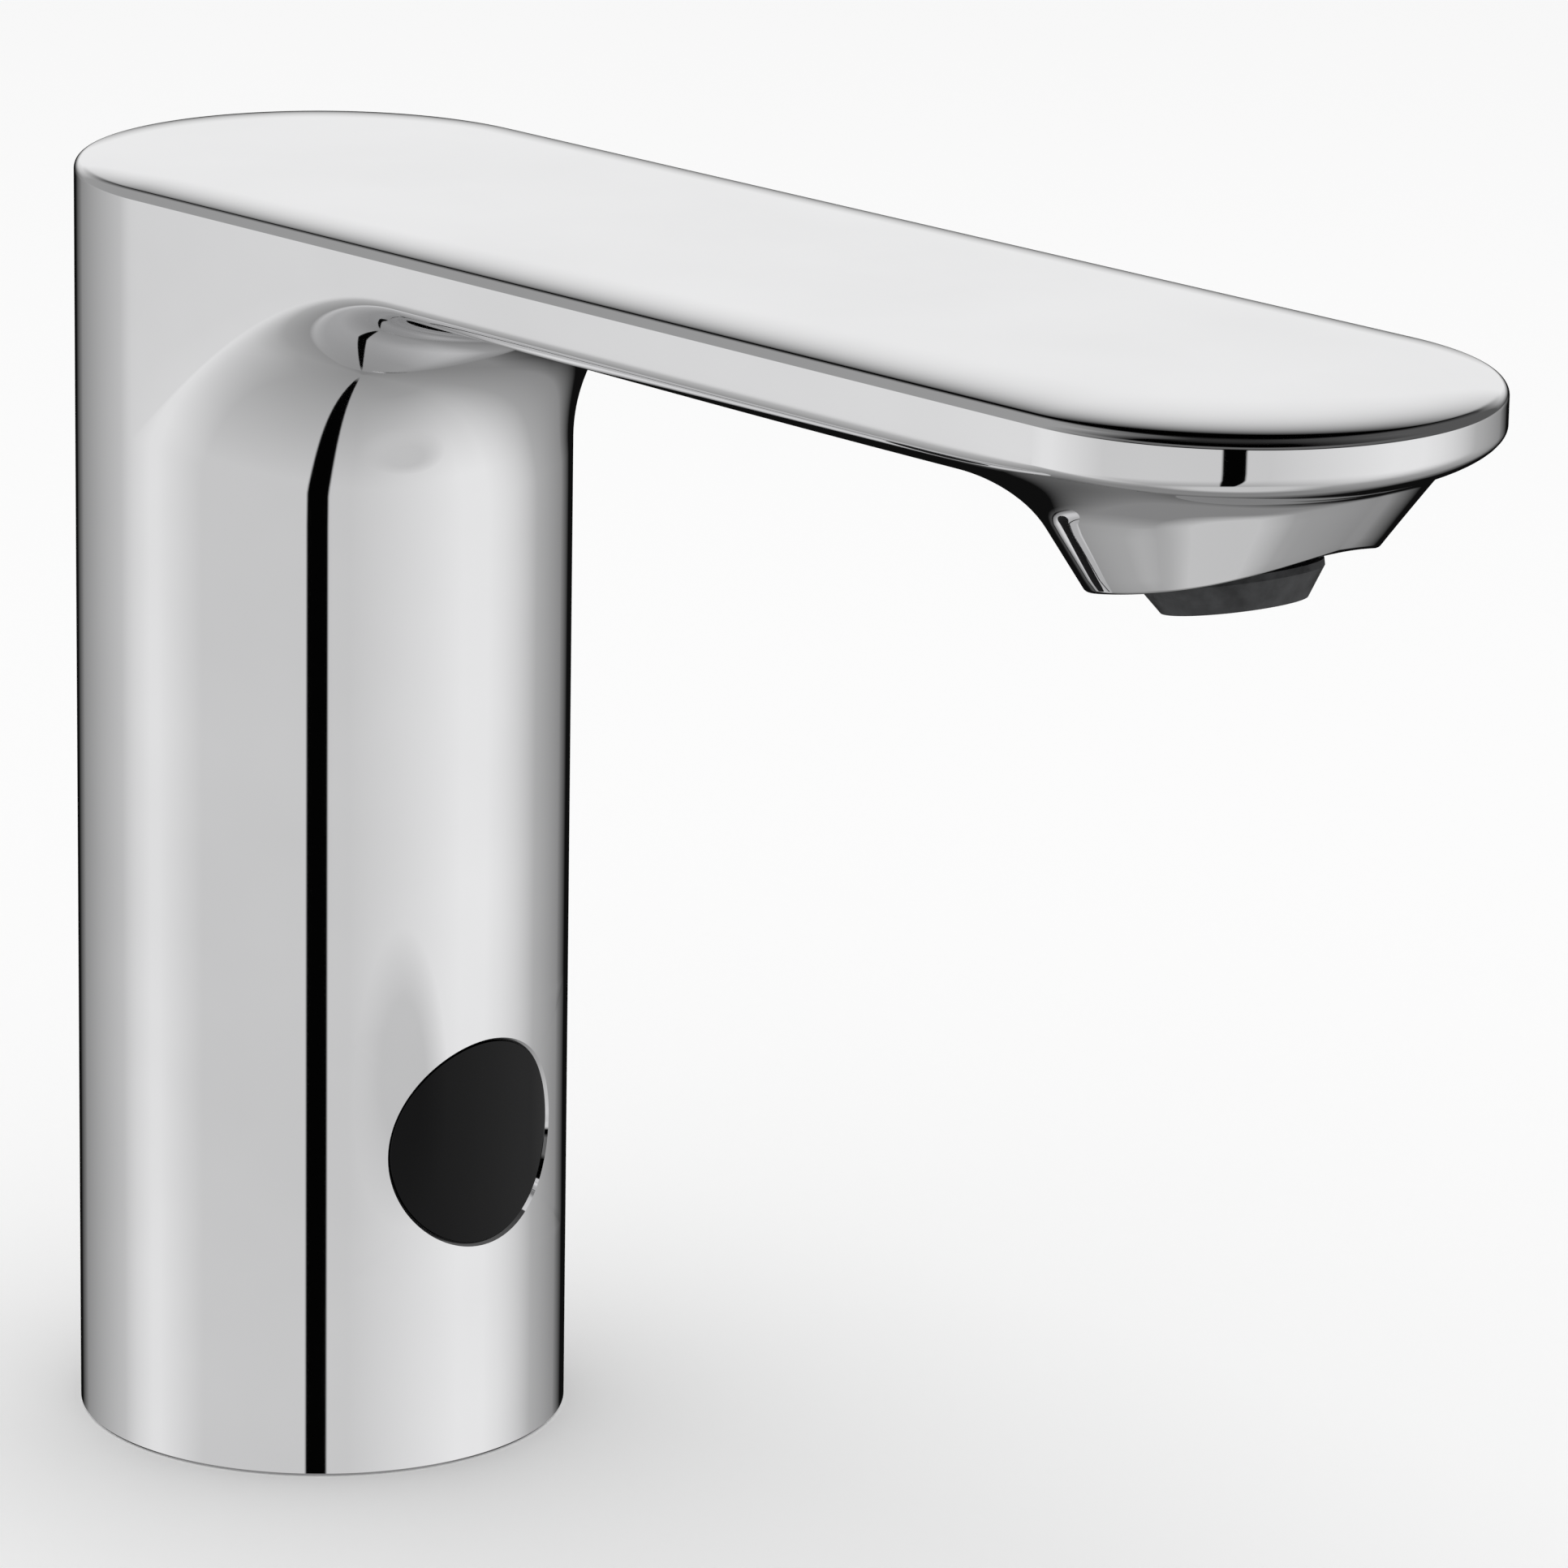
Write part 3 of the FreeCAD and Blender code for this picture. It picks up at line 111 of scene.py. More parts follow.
def belly(x, y):
    """Height of the underside over a point of the plan."""
    across = math.sqrt(max(1 - (y / COLUMN) ** 2, 0))
    depth = belly_depth(x) * across
    if x <= BELLY_START:
        return SLAB_EDGE - depth
    lift = NOSE_LIFT * across
    reach = (x - BELLY_START) / (NOSE_X + COLUMN * across - BELLY_START)
    return SLAB_EDGE + lift - (depth + lift) * math.sqrt(max(1 - reach * reach, 0))


def crown(run):
    """How far the slightly domed top lies below its middle, a run in from the round at its edge."""
    return (BRIM_SLOPE * BRIM_RUN * math.exp(-run / BRIM_RUN)
            + CROWN_SLOPE * CROWN_RUN * math.exp(-run / CROWN_RUN))


def front_point(part, value, slice_angle):
    """A point of the body's front and underside, on the upright slice at one angle."""
    across = math.cos(slice_angle)
    y = COLUMN * math.sin(slice_angle)
    face = COLUMN * across
    neck = belly(face, y) - ROOT_ROUND
    if part == "foot":
        return circle_point(COLUMN - FOOT_EDGE, slice_angle, 0)
    if part == "column":
        return Vector((face, y, value))
    if part == "neck":
        return Vector((face, y, NECK_Z + (neck - NECK_Z) * value))
    if part == "root":
        turn = math.radians(value)
        x = math.sqrt((COLUMN + ROOT_ROUND * (1 - math.cos(turn))) ** 2 - y * y)
        return Vector((x, y, belly(x, y) - ROOT_ROUND * (1 - math.sin(turn))))
    if part == "fan":
        start = math.sqrt((COLUMN + ROOT_ROUND) ** 2 - y * y)
        x = start + (FAN_END - start) * value
        return Vector((x, y, belly(x, y)))
    if part == "run":
        return Vector((value, y, belly(value, y)))
    turn = math.radians(value)
    reach = NOSE_X + COLUMN * across - BELLY_START
    lift = NOSE_LIFT * across
    depth = belly_depth(BELLY_START) * across
    return Vector((BELLY_START + reach * math.sin(turn), y,
                   SLAB_EDGE + lift - (depth + lift) * math.cos(turn)))


def circle_point(radius, angle, height):
    """A point on a circle round the column's axis."""
    return Vector((radius * math.cos(angle), radius * math.sin(angle), height))


def wall_point(y, z, radius):
    """A point on the front of a cylinder round the column's axis."""
    return Vector((math.sqrt(radius * radius - y * y), y, z))


def ray_point(turn, radius, height):
    """A point on a circle round the outlet's middle."""
    return Vector((MOUTH_X + radius * math.cos(turn), radius * math.sin(turn), height))


def belly_on_ray(turn, radius):
    """Height of the underside at a radius from the outlet's middle."""
    return belly(MOUTH_X + radius * math.cos(turn), radius * math.sin(turn))


def mouth_radius(turn, rise=0.0):
    """Radius of the outlet's wall along one direction, a rise above its mouth."""
    ahead = (1 + math.cos(turn)) / 2
    long = MOUTH_LONG + rise * (math.tan(FLARE_FRONT) * ahead + math.tan(FLARE_BACK) * (1 - ahead))
    wide = MOUTH_WIDE + rise * math.tan(FLARE_SIDE)
    return 1 / math.hypot(math.cos(turn) / long, math.sin(turn) / wide)


def mouth_height(turn):
    """Height of the outlet's lip: a tilted plane that sags a little at both sides."""
    plane = MOUTH_Z + MOUTH_SLOPE * mouth_radius(turn) * math.cos(turn)
    return plane - LIP_SAG * math.exp(-((abs(turn) - LIP_SAG_AT) / LIP_SAG_WIDTH) ** 2)


def wall_meets_belly(turn, foot):
    """How far above the lip the outlet's wall meets the underside, found by halving."""
    low, high = 0.0, 16.0
    for _ in range(40):
        middle = (low + high) / 2
        if belly_on_ray(turn, mouth_radius(turn, middle)) - foot - middle > 0:
            low = middle
        else:
            high = middle
    return low


def outlet_profile(turn):
    """How far out the underside's blend starts, and radius and height of the blend, the wall and the lip."""
    foot = mouth_height(turn)
    meeting = wall_meets_belly(turn, foot)

    def wall_at(rise):
        return Vector((mouth_radius(turn, rise), foot + rise))

    def under(radius):
        return Vector((radius, belly_on_ray(turn, radius)))

    # the blend, a curve from the wall to the underside
    crossing = wall_at(meeting)
    wall = Vector((crossing.x - mouth_radius(turn, meeting - 1), 1)).normalized()
    sole = (under(crossing.x + 0.5) - under(crossing.x)).normalized()
    bend = math.acos(max(-1.0, min(1.0, wall.dot(sole))))
    back = (1 - math.cos(turn)) / 2
    side = math.sin(turn) ** 2
    blend_round = (BLEND_FRONT * (1 - back) + BLEND_BACK * back) * (1 - side) + BLEND_SIDE * side
    run = min(blend_round * math.tan(bend / 2), meeting * BLEND_WALL_SHARE)
    start = wall_at(meeting - run * wall.y)
    end = under(crossing.x + run)
    end_slope = (under(end.x + 0.1) - under(end.x - 0.1)).normalized()
    one, two = start + wall * run * BLEND_PULL, end - end_slope * run * BLEND_PULL
    blend = []
    for step in range(15):
        t = 1 - step / 14
        blend.append((1 - t) ** 3 * start + 3 * (1 - t) ** 2 * t * one
                     + 3 * (1 - t) * t * t * two + t ** 3 * end)

    # the wall down to the lip, and the lip's round
    straight = [wall_at((start.y - foot) * (1 - step / 6) + LIP_ROUND * step / 6) for step in range(1, 7)]
    lean = math.atan2(wall.x, wall.y)
    slope = math.atan(MOUTH_SLOPE * math.cos(turn))
    centre = straight[-1] + LIP_ROUND * Vector((-math.cos(lean), math.sin(lean)))
    lip = []
    for step in range(1, 8):
        angle = -lean + (slope - math.pi / 2 + lean) * step / 7
        lip.append(centre + LIP_ROUND * Vector((math.cos(angle), math.sin(angle))))
    return end.x, blend + straight + lip


def rim(rows, columns):
    """The outline of a block of a grid, once round."""
    (low, high), (left, right) = rows, columns
    return ([(low, k) for k in range(left, right)] + [(j, right) for j in range(low, high)]
            + [(high, k) for k in range(right, left, -1)] + [(j, left) for j in range(high, low, -1)])


def band(mesh, first, second, closed=True, flip=False):
    """Quads between two rows of vertices; where both share a vertex, a triangle."""
    count = len(first)
    for k in range(count if closed else count - 1):
        after = (k + 1) % count
        corners = (first[k], first[after], second[after], second[k])
        ring = []
        for corner in corners:
            if corner not in ring:
                ring.append(corner)
        if len(ring) > 2:
            mesh.faces.new(ring[::-1] if flip else ring)


def polished_body():
    """The closed shell of column, spout and outlet, with its room, window hole and outlet bore."""
    mesh = bmesh.new()

    def add(point):
        return mesh.verts.new(point * MM)

    # the front of the column and the underside, a grid with holes for the outlet and the window
    slices = 120
    angles = [math.radians(-90 + 180 * k / slices) for k in range(slices + 1)]
    below = [FOOT_EDGE, 1, 4, 8, 12, 16]
    beside = [WINDOW_Z - WINDOW_BAND + n for n in range(2 * WINDOW_BAND + 1)]
    above = [56, 60, 65, 72, 80, 86, 93, NECK_Z]
    fine_step = (BELLY_START - FINE_START) / 16
    rows = ([("foot", 0)] + [("column", z) for z in below + beside + above]
            + [("neck", n / 3) for n in range(1, 4)]
            + [("root", 90 * n / 36) for n in range(1, 37)]
            + [("fan", n / 14) for n in range(1, 15)]
            + [("run", FAN_END + n * 2) for n in range(1, 19)]
            + [("run", FINE_START + n * fine_step) for n in range(1, 17)]
            + [("nose", 90 * n / 45) for n in range(1, 46)])
    outlet_rows = (rows.index(("run", FINE_START + 6 * fine_step)), rows.index(("nose", 82.0)))
    outlet_columns = (22, slices - 22)
    window_rows = (rows.index(("column", beside[0])) + 2, rows.index(("column", beside[-1])) - 2)
    window_columns = (slices // 2 - 24, slices // 2 + 24)
    holes = ((outlet_rows, outlet_columns), (window_rows, window_columns))
    grid = []
    for j, (part, value) in enumerate(rows):
        line = []
        for k, angle in enumerate(angles):
            hidden = any(a < j < b and c < k < d for (a, b), (c, d) in holes)
            line.append(None if hidden else add(front_point(part, value, angle)))
        grid.append(line)
    for j in range(len(rows) - 1):
        for k in range(slices):
            if not any(a <= j < b and c <= k < d for (a, b), (c, d) in holes):
                mesh.faces.new((grid[j][k], grid[j][k + 1], grid[j + 1][k + 1], grid[j + 1][k]))

    # the back of the column
    neck_row = rows.index(("neck", 1.0))
    rear = [math.radians(90 + 180 * k / slices) for k in range(1, slices)]
    rear_lines = [[add(circle_point(COLUMN - FOOT_EDGE, a, 0)) for a in rear]]
    for j in range(1, neck_row + 1):
        rear_lines.append([add(circle_point(COLUMN, a, grid[j][0].co.z / MM)) for a in rear])
    for j in range(neck_row):
        first = [grid[j][slices]] + rear_lines[j] + [grid[j][0]]
        second = [grid[j + 1][slices]] + rear_lines[j + 1] + [grid[j + 1][0]]
        band(mesh, first, second, closed=False)

    # the walls above the underside, the top's round and the crowned top
    side_rows = range(neck_row, len(rows))
    lower = ([grid[j][0] for j in side_rows] + grid[-1][1:slices]
             + [grid[j][slices] for j in reversed(side_rows)] + rear_lines[neck_row])
    outward = []
    for vertex in lower:
        x, y = vertex.co.x / MM, vertex.co.y / MM
        middle = Vector((NOSE_X if x > NOSE_X else (0 if x < 0 else x), 0))
        outward.append((Vector((x, y)) - middle).normalized())
    sweep = math.pi / 2 - math.atan(BRIM_SLOPE + CROWN_SLOPE)
    round_foot = TOP - crown(0) - TOP_ROUND * math.sin(sweep)
    wall_top = round_foot - 0.15
    rounds = [(0, round_foot)]
    for step in range(1, 15):
        angle = sweep * step / 14
        rounds.append((TOP_ROUND * (1 - math.cos(angle)), round_foot + TOP_ROUND * math.sin(angle)))
    brim = rounds[-1][0]
    rounds += [(brim + run, TOP - crown(run))
               for run in (0.2, 0.5, 0.9, 1.4, 2, 2.7, 3.5, 4.4, 5.4, 6.5, 8, 10, 12.5, 15.5, 18.5, 21, 23.5)]
    previous = lower
    for step in range(1, 5):
        line = []
        for vertex in lower:
            start = vertex.co / MM
            line.append(add(Vector((start.x, start.y, start.z + (wall_top - start.z) * step / 4))))
        band(mesh, previous, line)
        previous = line
    for inset, height in rounds:
        line = []
        for vertex, out in zip(lower, outward):
            start = vertex.co / MM
            line.append(add(Vector((start.x - out.x * inset, start.y - out.y * inset, height))))
        band(mesh, previous, line)
        previous = line
    mesh.faces.new(previous)

    # the outlet under the nose, and its bore
    outline = [grid[j][k] for j, k in rim(outlet_rows, outlet_columns)]
    turns = [math.atan2(v.co.y, v.co.x - MOUTH_X * MM) for v in outline]
    profiles = [outlet_profile(turn) for turn in turns]
    previous = outline
    for step in range(1, 9):
        line = []
        for vertex, turn, (reach, _) in zip(outline, turns, profiles):
            start = math.hypot(vertex.co.x / MM - MOUTH_X, vertex.co.y / MM)
            radius = start + (reach - start) * (step / 9)
            line.append(add(ray_point(turn, radius, belly_on_ray(turn, radius))))
        band(mesh, previous, line, flip=True)
        previous = line
    for step in range(len(profiles[0][1])):
        line = [add(ray_point(turn, points[step].x, points[step].y))
                for turn, (_, points) in zip(turns, profiles)]
        band(mesh, previous, line, flip=True)
        previous = line
    tilt = math.atan(MOUTH_SLOPE)
    bore_axis = Vector((-math.sin(tilt), 0, math.cos(tilt)))
    for depth, radius in ((0, BORE + BORE_CHAMFER), (BORE_CHAMFER, BORE), (BORE_DEPTH, BORE)):
        line = []
        for turn in turns:
            radial = 1 / math.hypot(math.cos(turn) / (radius * math.cos(tilt)), math.sin(turn) / radius)
            height = MOUTH_Z - BORE_RECESS + MOUTH_SLOPE * radial * math.cos(turn)
            line.append(add(ray_point(turn, radial, height) + bore_axis * depth))
        band(mesh, previous, line, flip=True)
        previous = line
    mesh.faces.new(previous[::-1])

    # the room inside the column, open below
    inner_levels = [BASE_DEPTH] + below[-1:] + beside + above[:1] + [80, 110, CEILING]
    inner_rows = (inner_levels.index(beside[0]) + 2, inner_levels.index(beside[-1]) - 2)
    full = angles + rear
    inner = []
    for j, z in enumerate(inner_levels):
        line = []
        for k, angle in enumerate(full):
            hidden = inner_rows[0] < j < inner_rows[1] and window_columns[0] < k < window_columns[1]
            line.append(None if hidden else add(circle_point(INSIDE, angle, z)))
        inner.append(line)
    for j in range(len(inner_levels) - 1):
        for k in range(len(full)):
            if inner_rows[0] <= j < inner_rows[1] and window_columns[0] <= k < window_columns[1]:
                continue
            after = (k + 1) % len(full)
            mesh.faces.new((inner[j][k], inner[j + 1][k], inner[j + 1][after], inner[j][after]))
    mesh.faces.new(inner[-1][::-1])
    previous = grid[0] + rear_lines[0]
    for z in (0, BASE_DEPTH):
        line = [add(circle_point(BASE_RIM, a, z)) for a in full]
        band(mesh, previous, line, flip=True)
        previous = line
    band(mesh, previous, inner[0], flip=True)

    # the window's hole through the column's wall
    outline = [grid[j][k] for j, k in rim(window_rows, window_columns)]
    turns = [math.atan2(v.co.z / MM - WINDOW_Z, v.co.y / MM) for v in outline]
    previous = outline
    for share in (0.2, 0.4, 0.6, 0.8, 0.93, 1):
        line = []
        for vertex, turn in zip(outline, turns):
            y = vertex.co.y / MM * (1 - share) + HOLE_OUTER * math.cos(turn) * share
            z = vertex.co.z / MM * (1 - share) + (WINDOW_Z + HOLE_OUTER * math.sin(turn)) * share
            line.append(add(wall_point(y, z, COLUMN)))
        band(mesh, previous, line, flip=True)
        previous = line
    for surface, sink in ((COLUMN, HOLE_CHAMFER), (INSIDE, 0)):
        line = []
        for turn in turns:
            y, z = HOLE_INNER * math.cos(turn), WINDOW_Z + HOLE_INNER * math.sin(turn)
            line.append(add(wall_point(y, z, surface) - Vector((sink, 0, 0))))
        band(mesh, previous, line, flip=True)
        previous = line
    band(mesh, previous, [inner[j][k] for j, k in rim(inner_rows, window_columns)], flip=True)

    data = bpy.data.meshes.new("polished_body")
    bmesh.ops.recalc_face_normals(mesh, faces=mesh.faces)
    mesh.to_mesh(data)
    mesh.free()
    data.validate()
    piece = bpy.data.objects.new("polished_body", data)
    bpy.context.scene.collection.objects.link(piece)
    for one in bpy.context.selected_objects:
        one.select_set(False)
    bpy.context.view_layer.objects.active = piece
    piece.select_set(True)
    bpy.ops.object.shade_smooth_by_angle(angle=math.radians(28))
    piece.select_set(False)
    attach(piece, "tap_body")
    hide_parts("body_casting")
    return piece


# ------------------------------------------------------------------ shader nodes
class Signal:
    """A number on its way through the nodes; arithmetic on it adds Math nodes."""

    def __init__(self, tree, socket):
        self.tree, self.socket = tree, socket

    def math(self, operation, first, second=0.0):
        node = self.tree.nodes.new("ShaderNodeMath")
        node.operation = operation
        for socket, value in zip(node.inputs, (first, second)):
            if isinstance(value, Signal):
                self.tree.links.new(value.socket, socket)
            else:
                socket.default_value = value
        return Signal(self.tree, node.outputs[0])

    def __add__(self, other):
        return self.math("ADD", self, other)

    def __radd__(self, other):
        return self.math("ADD", other, self)

    def __mul__(self, other):
        return self.math("MULTIPLY", self, other)

    def __rmul__(self, other):
        return self.math("MULTIPLY", other, self)


class Nodes:
    """Adds nodes to one material or world."""

    def __init__(self, tree):
        self.tree = tree
        tree.nodes.clear()

    def add(self, kind, settings=None, output=0, **values):
        """One node: its settings, then its sockets by name, or by number after an underscore."""
        node = self.tree.nodes.new(kind)
        for name, value in (settings or {}).items():
            setattr(node, name, value)
        for name, value in values.items():
            socket = node.inputs[int(name[1:])] if name[0] == "_" else node.inputs[name.replace("_", " ")]
            if isinstance(value, Signal):
                self.tree.links.new(value.socket, socket)
            else:
                socket.default_value = value
        return Signal(self.tree, node.outputs[output]) if node.outputs else node

    def clip(self, value, low, high):
        """0 at low, 1 at high, straight in between."""
        return self.add("ShaderNodeMapRange", {"clamp": True}, _0=value, _1=low, _2=high)

    def blend(self, share, first, second):
        """The first number at a share of 0, the second at 1."""
        return self.add("ShaderNodeMix", {"data_type": "FLOAT"}, _0=share, _2=first, _3=second)

    def tint(self, share, first, second):
        """The first colour at a share of 0, the second at 1."""
        return self.add("ShaderNodeMix", {"data_type": "RGBA"}, output=2, _0=share, _6=first, _7=second)

    def noise(self, scale, detail=3.0, stretch=None):
        """Noise on the object's own coordinates."""
        place = self.add("ShaderNodeTexCoord", output=3)
        if stretch:
            place = self.add("ShaderNodeMapping", Vector=place, Scale=stretch)
        return self.add("ShaderNodeTexNoise", Vector=place, Scale=scale, Detail=detail)


def linear(tone):
    """A tone of 0 to 255 as light."""
    share = tone / 255
    return share / 12.92 if share <= 0.04045 else ((share + 0.055) / 1.055) ** 2.4


def finish(name, dark, light, rough, metal=0.0, scale=60.0, bump=0.0, bump_scale=300.0, gloss=0.5,
           stretch=None):
    """A finish whose colour, roughness and surface vary a little over the piece."""
    material = bpy.data.materials.new(name)
    material.use_nodes = True
    nodes = Nodes(material.node_tree)
    grain = nodes.noise(scale, stretch=stretch)
    low = tuple(linear(c) for c in dark) + (1,)
    high = tuple(linear(c) for c in light) + (1,)
    values = dict(Base_Color=nodes.tint(nodes.clip(grain, 0.3, 0.7), low, high),
                  Roughness=nodes.blend(grain, rough[0], rough[1]), Metallic=metal,
                  Specular_IOR_Level=gloss)
    if bump:
        fine = nodes.noise(bump_scale, 2.0, stretch)
        values["Normal"] = nodes.add("ShaderNodeBump", Strength=bump, Distance=0.0002, Height=fine)
    shader = nodes.add("ShaderNodeBsdfPrincipled", **values)
    nodes.add("ShaderNodeOutputMaterial", Surface=shader)
    return material


FINISHES = {
    "chrome_body": finish("polished_chrome", (236, 236, 237), (241, 241, 242), (0.02, 0.035), 1.0, 40),
    "smoked_window": finish("smoked_window", (2, 2, 3), (4, 4, 5), (0.05, 0.09), scale=90, gloss=0.16),
    "black_nozzle": finish("soft_black_nozzle", (20, 21, 23), (54, 55, 57), (0.38, 0.6),
                           scale=420, bump=0.35, bump_scale=900),
    "dark_insert": finish("dark_insert", (22, 22, 24), (34, 34, 36), (0.5, 0.65),
                          scale=300, bump=0.2, bump_scale=1200),
    "pale_plastic": finish("pale_plastic", (206, 204, 198), (220, 218, 212), (0.38, 0.52),
                           scale=70, bump=0.15, bump_scale=1500),
    "black_plastic": finish("black_plastic", (24, 24, 26), (36, 36, 38), (0.4, 0.55),
                            scale=90, bump=0.2, bump_scale=1400),
    "rubber": finish("black_rubber", (20, 20, 20), (31, 31, 31), (0.65, 0.8),
                     scale=120, bump=0.3, bump_scale=1100),
    "silicone": finish("clear_silicone", (198, 203, 204), (216, 220, 221), (0.3, 0.45),
                       scale=60, bump=0.1, bump_scale=700),
    "brass": finish("turned_brass", (178, 148, 84), (200, 170, 104), (0.22, 0.36), 1.0,
                    scale=50, bump=0.1, bump_scale=500, stretch=(1, 1, 12)),
    "steel": finish("stainless_steel", (158, 160, 163), (182, 184, 187), (0.24, 0.36), 1.0,
                    scale=80, bump=0.1, bump_scale=600, stretch=(1, 1, 10)),
    "copper": finish("enamelled_copper", (150, 74, 38), (184, 98, 54), (0.28, 0.4), 1.0,
                     scale=200, bump=0.5, bump_scale=60, stretch=(1, 1, 40)),
    "magnet": finish("plated_magnet", (140, 142, 146), (160, 162, 166), (0.2, 0.32), 1.0, 90),
    "board": finish("green_board", (18, 72, 44), (28, 92, 58), (0.35, 0.5),
                    scale=150, bump=0.2, bump_scale=700),
    "infrared_lens": finish("infrared_lens", (16, 14, 22), (26, 22, 34), (0.08, 0.14), scale=120),
    "battery_wrap": finish("battery_wrap", (34, 62, 116), (44, 76, 134), (0.28, 0.4),
                           scale=60, bump=0.08, bump_scale=300),
    "lead_red": finish("red_lead", (150, 26, 22), (176, 38, 32), (0.45, 0.6),
                       scale=200, bump=0.1, bump_scale=900),
    "lead_grey": finish("grey_lead", (96, 98, 102), (118, 120, 124), (0.45, 0.6),
                        scale=200, bump=0.1, bump_scale=900),
}

body = polished_body()
body.data.materials.append(FINISHES["chrome_body"])
for node_name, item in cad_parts.items():
    for number, old in enumerate(item.data.materials):
        key = old.name.split(".")[0] if old else ""
        if key in FINISHES:
            item.data.materials[number] = FINISHES[key]
        else:
            print("no finish for", node_name, key)


# ------------------------------------------------------------------ studio
STUDIO_FRONT = (0.7206, -0.6934)
WORLD_LEVEL = 0.86
# the painted reflection under the outlet: the glowing disc's radius, the radius inside which it glows fully,
# and its glow
CARD_RADIUS = 0.062
CARD_FULL = 0.03
CARD_LEVEL = 0.6


def studio():
    """White for the camera, even light on the surfaces, and walls and soft boxes for the polished metal.

    The studio's directions are fixed in the world. turn is in degrees from its front, which is the side
    of the photograph's camera, positive to the right as seen from there. rise is in degrees above the
    horizon. A level of 1 is white.
    """
    world = bpy.data.worlds.new("studio")
    bpy.context.scene.world = world
    world.use_nodes = True
    nodes = Nodes(world.node_tree)
    place = nodes.add("ShaderNodeTexCoord", output=0)
    split = world.node_tree.nodes.new("ShaderNodeSeparateXYZ")
    world.node_tree.links.new(place.socket, split.inputs[0])
    x, y, z = (Signal(world.node_tree, split.outputs[n]) for n in range(3))
    towards = x * STUDIO_FRONT[0] + y * STUDIO_FRONT[1]
    across = x * -STUDIO_FRONT[1] + y * STUDIO_FRONT[0]
    turn = x.math("ARCTAN2", across, towards) * (180 / math.pi)
    rise = x.math("ARCSINE", z) * (180 / math.pi)
    side = turn.math("ABSOLUTE", turn)
    # grey walls that darken towards the floor and towards the back
    tone = nodes.blend(nodes.clip(rise, -20, -90), 0.65, 0.3)
    tone = nodes.blend(nodes.clip(side, 95, 150), tone, 0.25)
    # a tall soft box on one side and a wide one on the other
    low = nodes.clip(rise, -75, -25)
    left_box = nodes.clip(turn, -105, -85) * nodes.clip(turn, -55, -80)
    right_box = nodes.clip(turn, 15, 70) * nodes.clip(turn, 120, 85)
    tone = nodes.blend(left_box * low, tone, 0.85)
    tone = nodes.blend(right_box * low, tone, 0.9)
    # the studio's dark back
    tone = nodes.blend(nodes.clip(side, 146, 160) * nodes.clip(rise, -55, -40), tone, 0.005)
    # above the horizon it is dim in front and at the sides, with one soft box behind
    behind = nodes.clip(rise, -3, 8) * nodes.clip(rise, 28, 14) * 0.9
    ahead = nodes.clip(rise, 1, 5) * nodes.clip(rise, 24, 20) * 0.14
    upper = nodes.blend(nodes.clip(turn, 30, 90), ahead, 0.1)
    upper = nodes.blend(nodes.clip(turn, -45, -85), upper, 0.35)
    upper = nodes.blend(nodes.clip(side, 138, 165), upper, behind)
    upper = nodes.blend(nodes.clip(rise, 50, 82), upper, 0.03)
    tone = nodes.blend(nodes.clip(rise, -6, -3), tone, upper)
    # the dark slit that the photograph's camera stands in
    slit = nodes.clip(side, 5.4, 4.4) * nodes.clip(rise, -88, -84) * nodes.clip(rise, 0, -3)
    tone = nodes.blend(slit, tone, 0.001)
    path = world.node_tree.nodes.new("ShaderNodeLightPath")
    camera_ray, glossy_ray, clear_ray = (
        Signal(world.node_tree, path.outputs[name])
        for name in ("Is Camera Ray", "Is Glossy Ray", "Is Transmission Ray"))
    seen = nodes.blend(glossy_ray, WORLD_LEVEL, tone)
    seen = nodes.blend(camera_ray.math("MAXIMUM", camera_ray, clear_ray), seen, 1.0)
    glow = nodes.add("ShaderNodeBackground", Color=seen, Strength=1.0)
    nodes.add("ShaderNodeOutputWorld", Surface=glow)


def studio_floor():
    """The pale floor, which keeps the tap's shadow; the polished metal doesn't see it."""
    bpy.ops.mesh.primitive_plane_add(size=8, location=(0, 0, -0.0001))
    floor = bpy.context.active_object
    floor.name = "studio_floor"
    floor.select_set(False)
    floor.visible_glossy = False
    material = bpy.data.materials.new("studio_floor")
    material.use_nodes = True
    nodes = Nodes(material.node_tree)
    shade = nodes.blend(nodes.noise(0.6), 0.985, 1.0)
    shader = nodes.add("ShaderNodeBsdfPrincipled", Base_Color=shade, Roughness=0.9, Specular_IOR_Level=0.0)
    nodes.add("ShaderNodeOutputMaterial", Surface=shader)
    floor.data.materials.append(material)


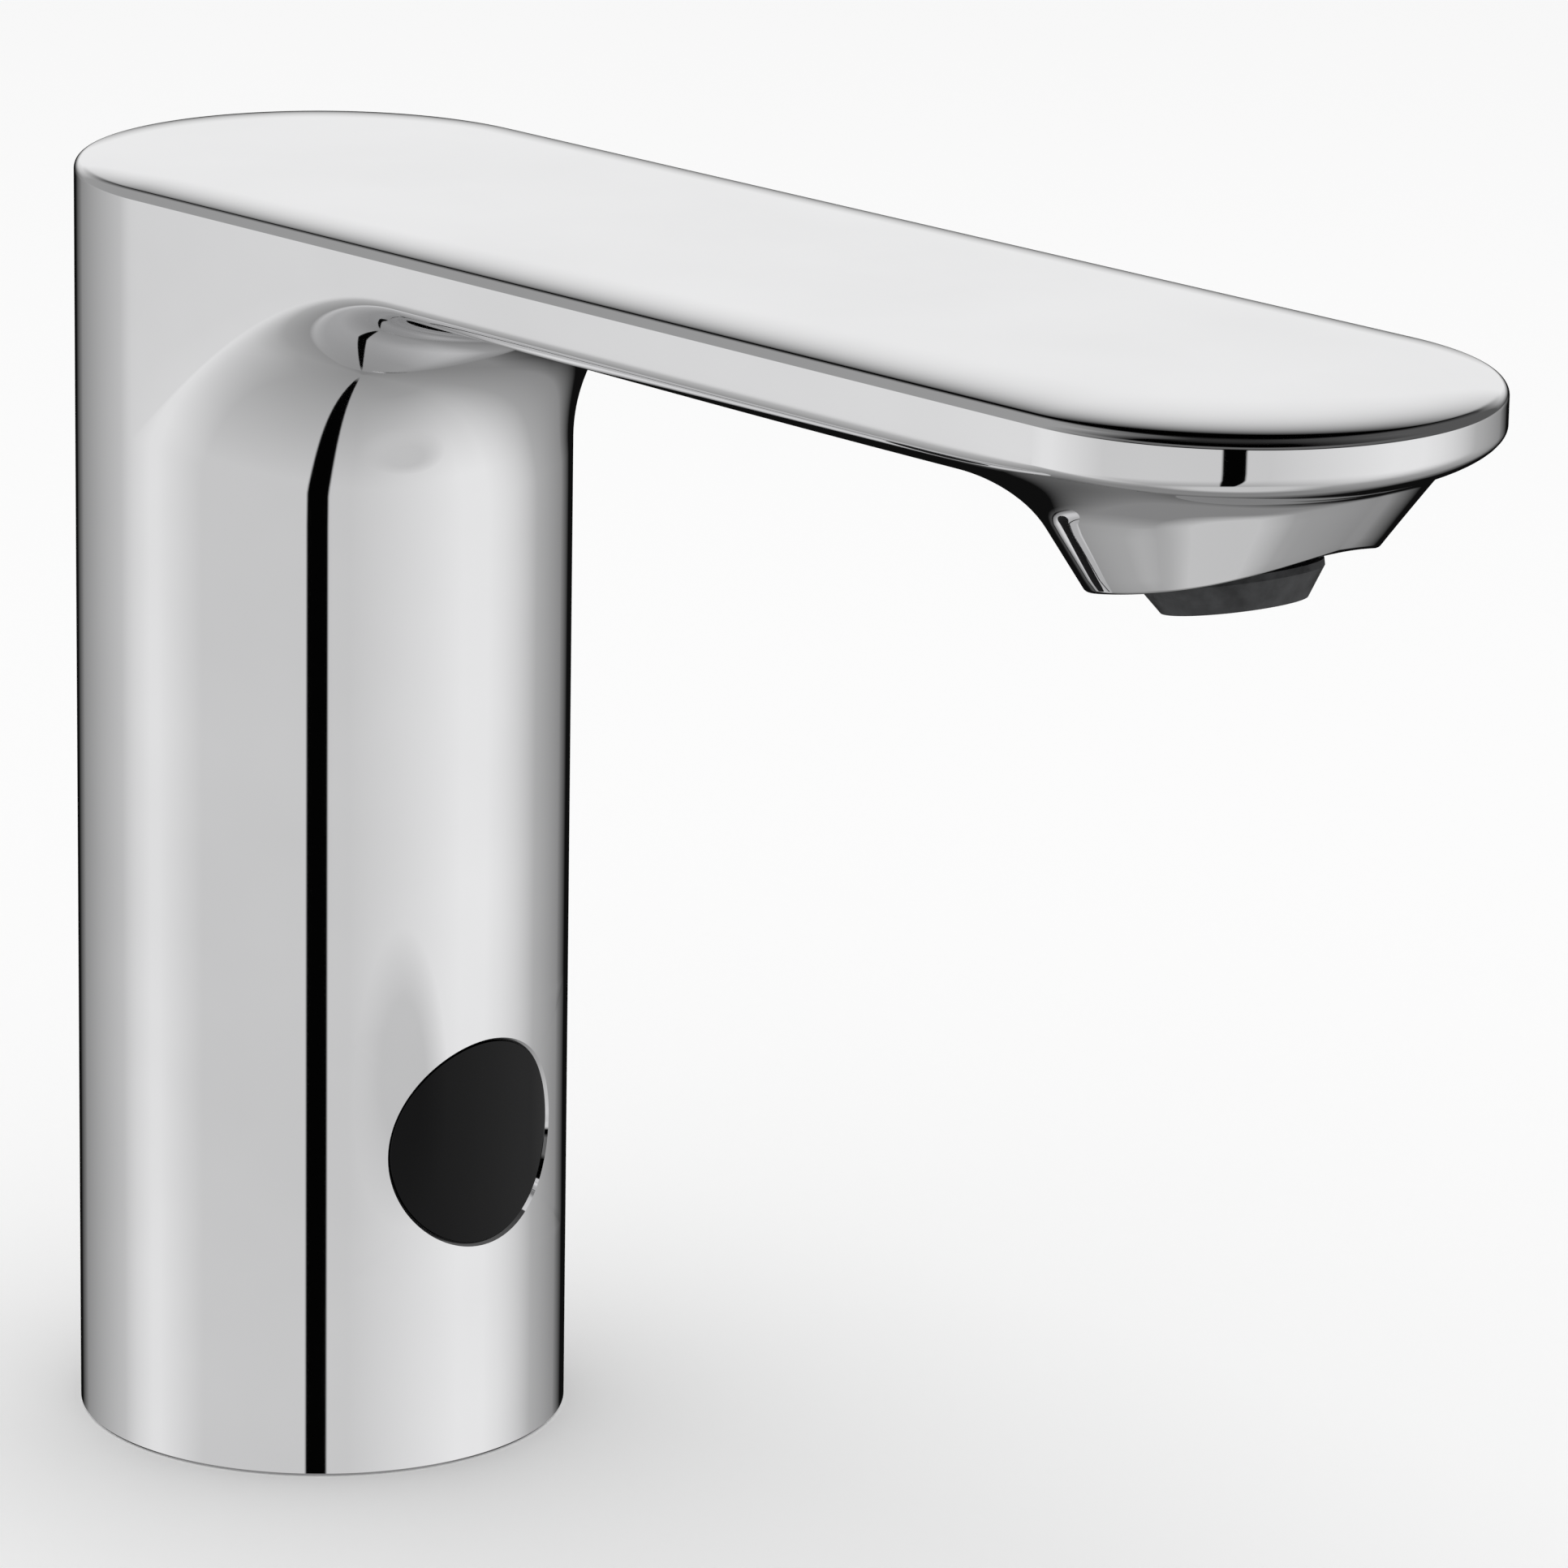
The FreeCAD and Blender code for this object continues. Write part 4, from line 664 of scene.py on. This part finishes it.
def painted_reflection():
    """A glowing disc on the floor under the outlet, seen only by the polished metal: a painted reflection of
    a pale card.
    """
    bpy.ops.mesh.primitive_circle_add(vertices=64, radius=CARD_RADIUS, fill_type="NGON",
                                      location=(0.168, -0.018, 0.0002))
    card = bpy.context.active_object
    card.name = "painted_reflection_card"
    card.select_set(False)
    # hidden from camera, diffuse, shadow and transmission rays, so the disc shows only as a painted
    # reflection in the metal
    card.visible_camera = card.visible_diffuse = card.visible_shadow = card.visible_transmission = False
    material = bpy.data.materials.new("painted_reflection_card")
    material.use_nodes = True
    nodes = Nodes(material.node_tree)
    place = nodes.add("ShaderNodeTexCoord", output=3)
    reach = nodes.add("ShaderNodeVectorMath", {"operation": "LENGTH"}, output=1, _0=place)
    share = nodes.clip(reach, CARD_RADIUS, CARD_FULL)
    clear = nodes.add("ShaderNodeBsdfTransparent")
    # painted reflection: the disc glows at CARD_LEVEL and fades to clear towards its rim
    glow = nodes.add("ShaderNodeEmission", Color=(CARD_LEVEL, CARD_LEVEL, CARD_LEVEL, 1))
    shader = nodes.add("ShaderNodeMixShader", _0=share, _1=clear, _2=glow)
    nodes.add("ShaderNodeOutputMaterial", Surface=shader)
    card.data.materials.append(material)


def key_light():
    """A large soft lamp above the tap."""
    data = bpy.data.lights.new("overhead", "AREA")
    data.shape, data.size, data.size_y, data.energy = "RECTANGLE", 1.2, 1.2, 3.2
    lamp = bpy.data.objects.new("overhead", data)
    lamp.location = (0.1, 0.1, 1.4)
    lamp.visible_glossy = False
    bpy.context.scene.collection.objects.link(lamp)


def camera():
    """The camera that was solved from the photograph."""
    turn, pitch, roll = math.radians(46.1), math.radians(15.76), math.radians(1.0)
    ahead = Vector((-math.sin(turn) * math.cos(pitch), math.cos(turn) * math.cos(pitch), -math.sin(pitch)))
    right = Vector((math.cos(turn), math.sin(turn), 0))
    up = right.cross(ahead)
    right, up = right * math.cos(roll) + up * math.sin(roll), up * math.cos(roll) - right * math.sin(roll)
    data = bpy.data.cameras.new("camera")
    data.lens, data.sensor_width, data.sensor_fit = 193.9, 36, "HORIZONTAL"
    view = bpy.data.objects.new("camera", data)
    view.matrix_world = Matrix((right, up, -ahead)).transposed().to_4x4()
    view.location = (0.67828, -0.58260, 0.32364)
    bpy.context.scene.collection.objects.link(view)
    bpy.context.scene.camera = view


studio()
studio_floor()
painted_reflection()
key_light()
camera()
bpy.context.scene.view_settings.view_transform = "Standard"
